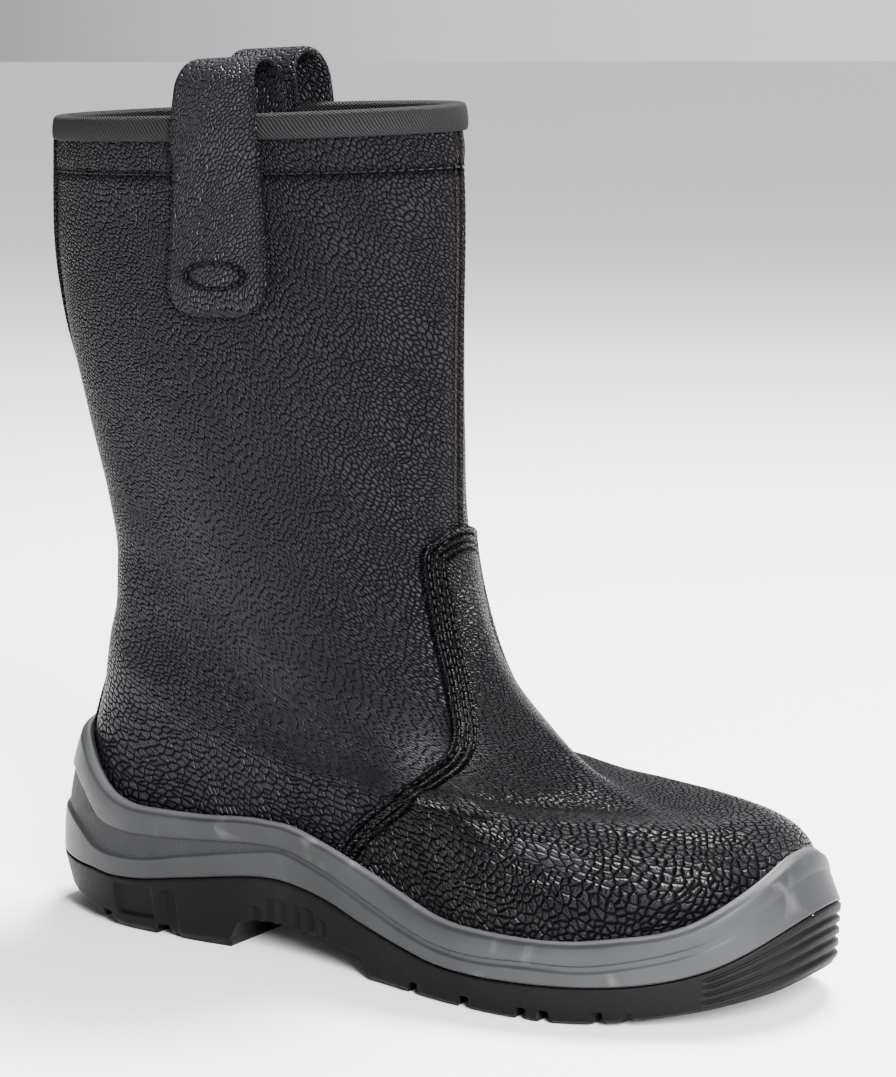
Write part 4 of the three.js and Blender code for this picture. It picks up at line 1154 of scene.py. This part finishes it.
rubber = Finish("black outsole rubber")
rubber_place = rubber.object_place()
rubber_grain = rubber.noise(rubber_place, 700, 3)
dust = rubber.noise(rubber_place, 40, 4).between(0.5, 0.8)
rubber.feed(
    rubber.shader,
    {
        "Base Color": rubber.mix(dust * 0.5, (0.001, 0.001, 0.0012, 1), (0.004, 0.004, 0.004, 1)),
        "Roughness": 0.5 + rubber_grain * 0.2,
        "Specular IOR Level": 0.12,
        "Normal": rubber.bump(rubber_grain, 0.00015),
    },
)
tread_mesh = formed_grid(900, 90, outsole_form)
boot_piece("tread_unit", tread_mesh, rubber.material, "outsole_rubber", "outsole")

# Insole
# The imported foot-bed, a soft board faced with dark grey felt. It lies loose in the midsole's
# cup and shows only down the shaft.
felt = Finish("insole felt")
felt_fuzz = felt.noise(felt.object_place(), 900, 4)
felt.feed(
    felt.shader,
    {
        "Base Color": felt.mix(felt_fuzz, (0.01, 0.0095, 0.009, 1), (0.028, 0.026, 0.024, 1)),
        "Roughness": 0.95,
        "Normal": felt.bump(felt_fuzz, 0.0004),
    },
)
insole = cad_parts["insole"]
insole.data.materials.clear()
insole.data.materials.append(felt.material)

# Studio
# A pale floor, two soft lights, a room that is dim on the camera's left, and the camera where
# the photograph was taken from.
PHOTO_FOCAL = 3044
PHOTO_LONG_SIDE = 1077
CAMERA_DISTANCE = 1.05
CAMERA_AZIMUTH = math.radians(33)
CAMERA_ELEVATION = math.radians(9.4)
CAMERA_ROLL = math.radians(-0.39)
AIMED_AT = (164, 0, 148)
camera_data = bpy.data.cameras.new("camera")
camera_data.lens = camera_data.sensor_width * PHOTO_FOCAL / PHOTO_LONG_SIDE
camera = bpy.data.objects.new("camera", camera_data)
bpy.context.collection.objects.link(camera)
back = Vector(
    (
        math.sin(CAMERA_AZIMUTH) * math.cos(CAMERA_ELEVATION),
        -math.cos(CAMERA_AZIMUTH) * math.cos(CAMERA_ELEVATION),
        math.sin(CAMERA_ELEVATION),
    )
)
camera.location = Vector(into_frame(AIMED_AT)) + back * CAMERA_DISTANCE
camera.rotation_mode = "QUATERNION"
camera.rotation_quaternion = back.to_track_quat("Z", "Y") @ Quaternion((0, 0, 1), CAMERA_ROLL)
bpy.context.scene.camera = camera


def soft_light(name, place, size, power):
    data = bpy.data.lights.new(name, "AREA")
    data.shape = "RECTANGLE"
    data.size, data.size_y = size
    data.energy = power
    light = bpy.data.objects.new(name, data)
    bpy.context.collection.objects.link(light)
    light.location = place
    light.rotation_mode = "QUATERNION"
    light.rotation_quaternion = (Vector(place) - Vector((0, 0, 0.12))).to_track_quat("Z", "Y")


soft_light("key", (1.45, -1.15, 1.05), (0.4, 1.0), 170)
soft_light("top", (0.05, 0.7, 1.8), (0.7, 0.5), 165)

floor_mesh = bmesh.new()
bmesh.ops.create_grid(floor_mesh, x_segments=1, y_segments=1, size=30)
floor_data = bpy.data.meshes.new("floor")
floor_mesh.to_mesh(floor_data)
floor_mesh.free()
pale = Finish("pale floor")
pale_cloud = pale.noise(pale.object_place(), 1.5)
pale_tone = pale.mix(pale_cloud, (0.9, 0.9, 0.9, 1), (0.93, 0.93, 0.93, 1))
pale.feed(pale.shader, {"Base Color": pale_tone, "Roughness": 0.9})
floor_data.materials.append(pale.material)
floor = bpy.data.objects.new("floor", floor_data)
bpy.context.collection.objects.link(floor)
world = bpy.data.worlds.new("studio")
world.use_nodes = True
nodes, links = world.node_tree.nodes, world.node_tree.links
heading = nodes.new("ShaderNodeTexCoord")


def room_light(strength):
    light = nodes.new("ShaderNodeBackground")
    light.inputs["Color"].default_value = (0.96, 0.97, 1, 1)
    light.inputs["Strength"].default_value = strength
    return light.outputs[0]


def room_blend(first, second, facing, low, high):
    """One light up to a low share of a facing, another from a high share on."""
    toward = nodes.new("ShaderNodeVectorMath")
    toward.operation = "DOT_PRODUCT"
    toward.inputs[1].default_value = facing
    share = nodes.new("ShaderNodeMapRange")
    share.interpolation_type = "SMOOTHSTEP"
    share.inputs[1].default_value, share.inputs[2].default_value = low, high
    blend = nodes.new("ShaderNodeMixShader")
    links.new(heading.outputs["Generated"], toward.inputs[0])
    links.new(toward.outputs["Value"], share.inputs[0])
    links.new(share.outputs[0], blend.inputs[0])
    links.new(first, blend.inputs[1])
    links.new(second, blend.inputs[2])
    return blend.outputs[0]


far_wall, overhead, dim_side = room_light(1.2), room_light(1.6), room_light(0.08)
bright_side = room_blend(far_wall, overhead, (0, 0, 1), 0.02, 0.5)
room = room_blend(bright_side, dim_side, (-0.84, -0.54, 0), -0.15, 0.35)
links.new(room, nodes["World Output"].inputs["Surface"])
bpy.context.scene.world = world
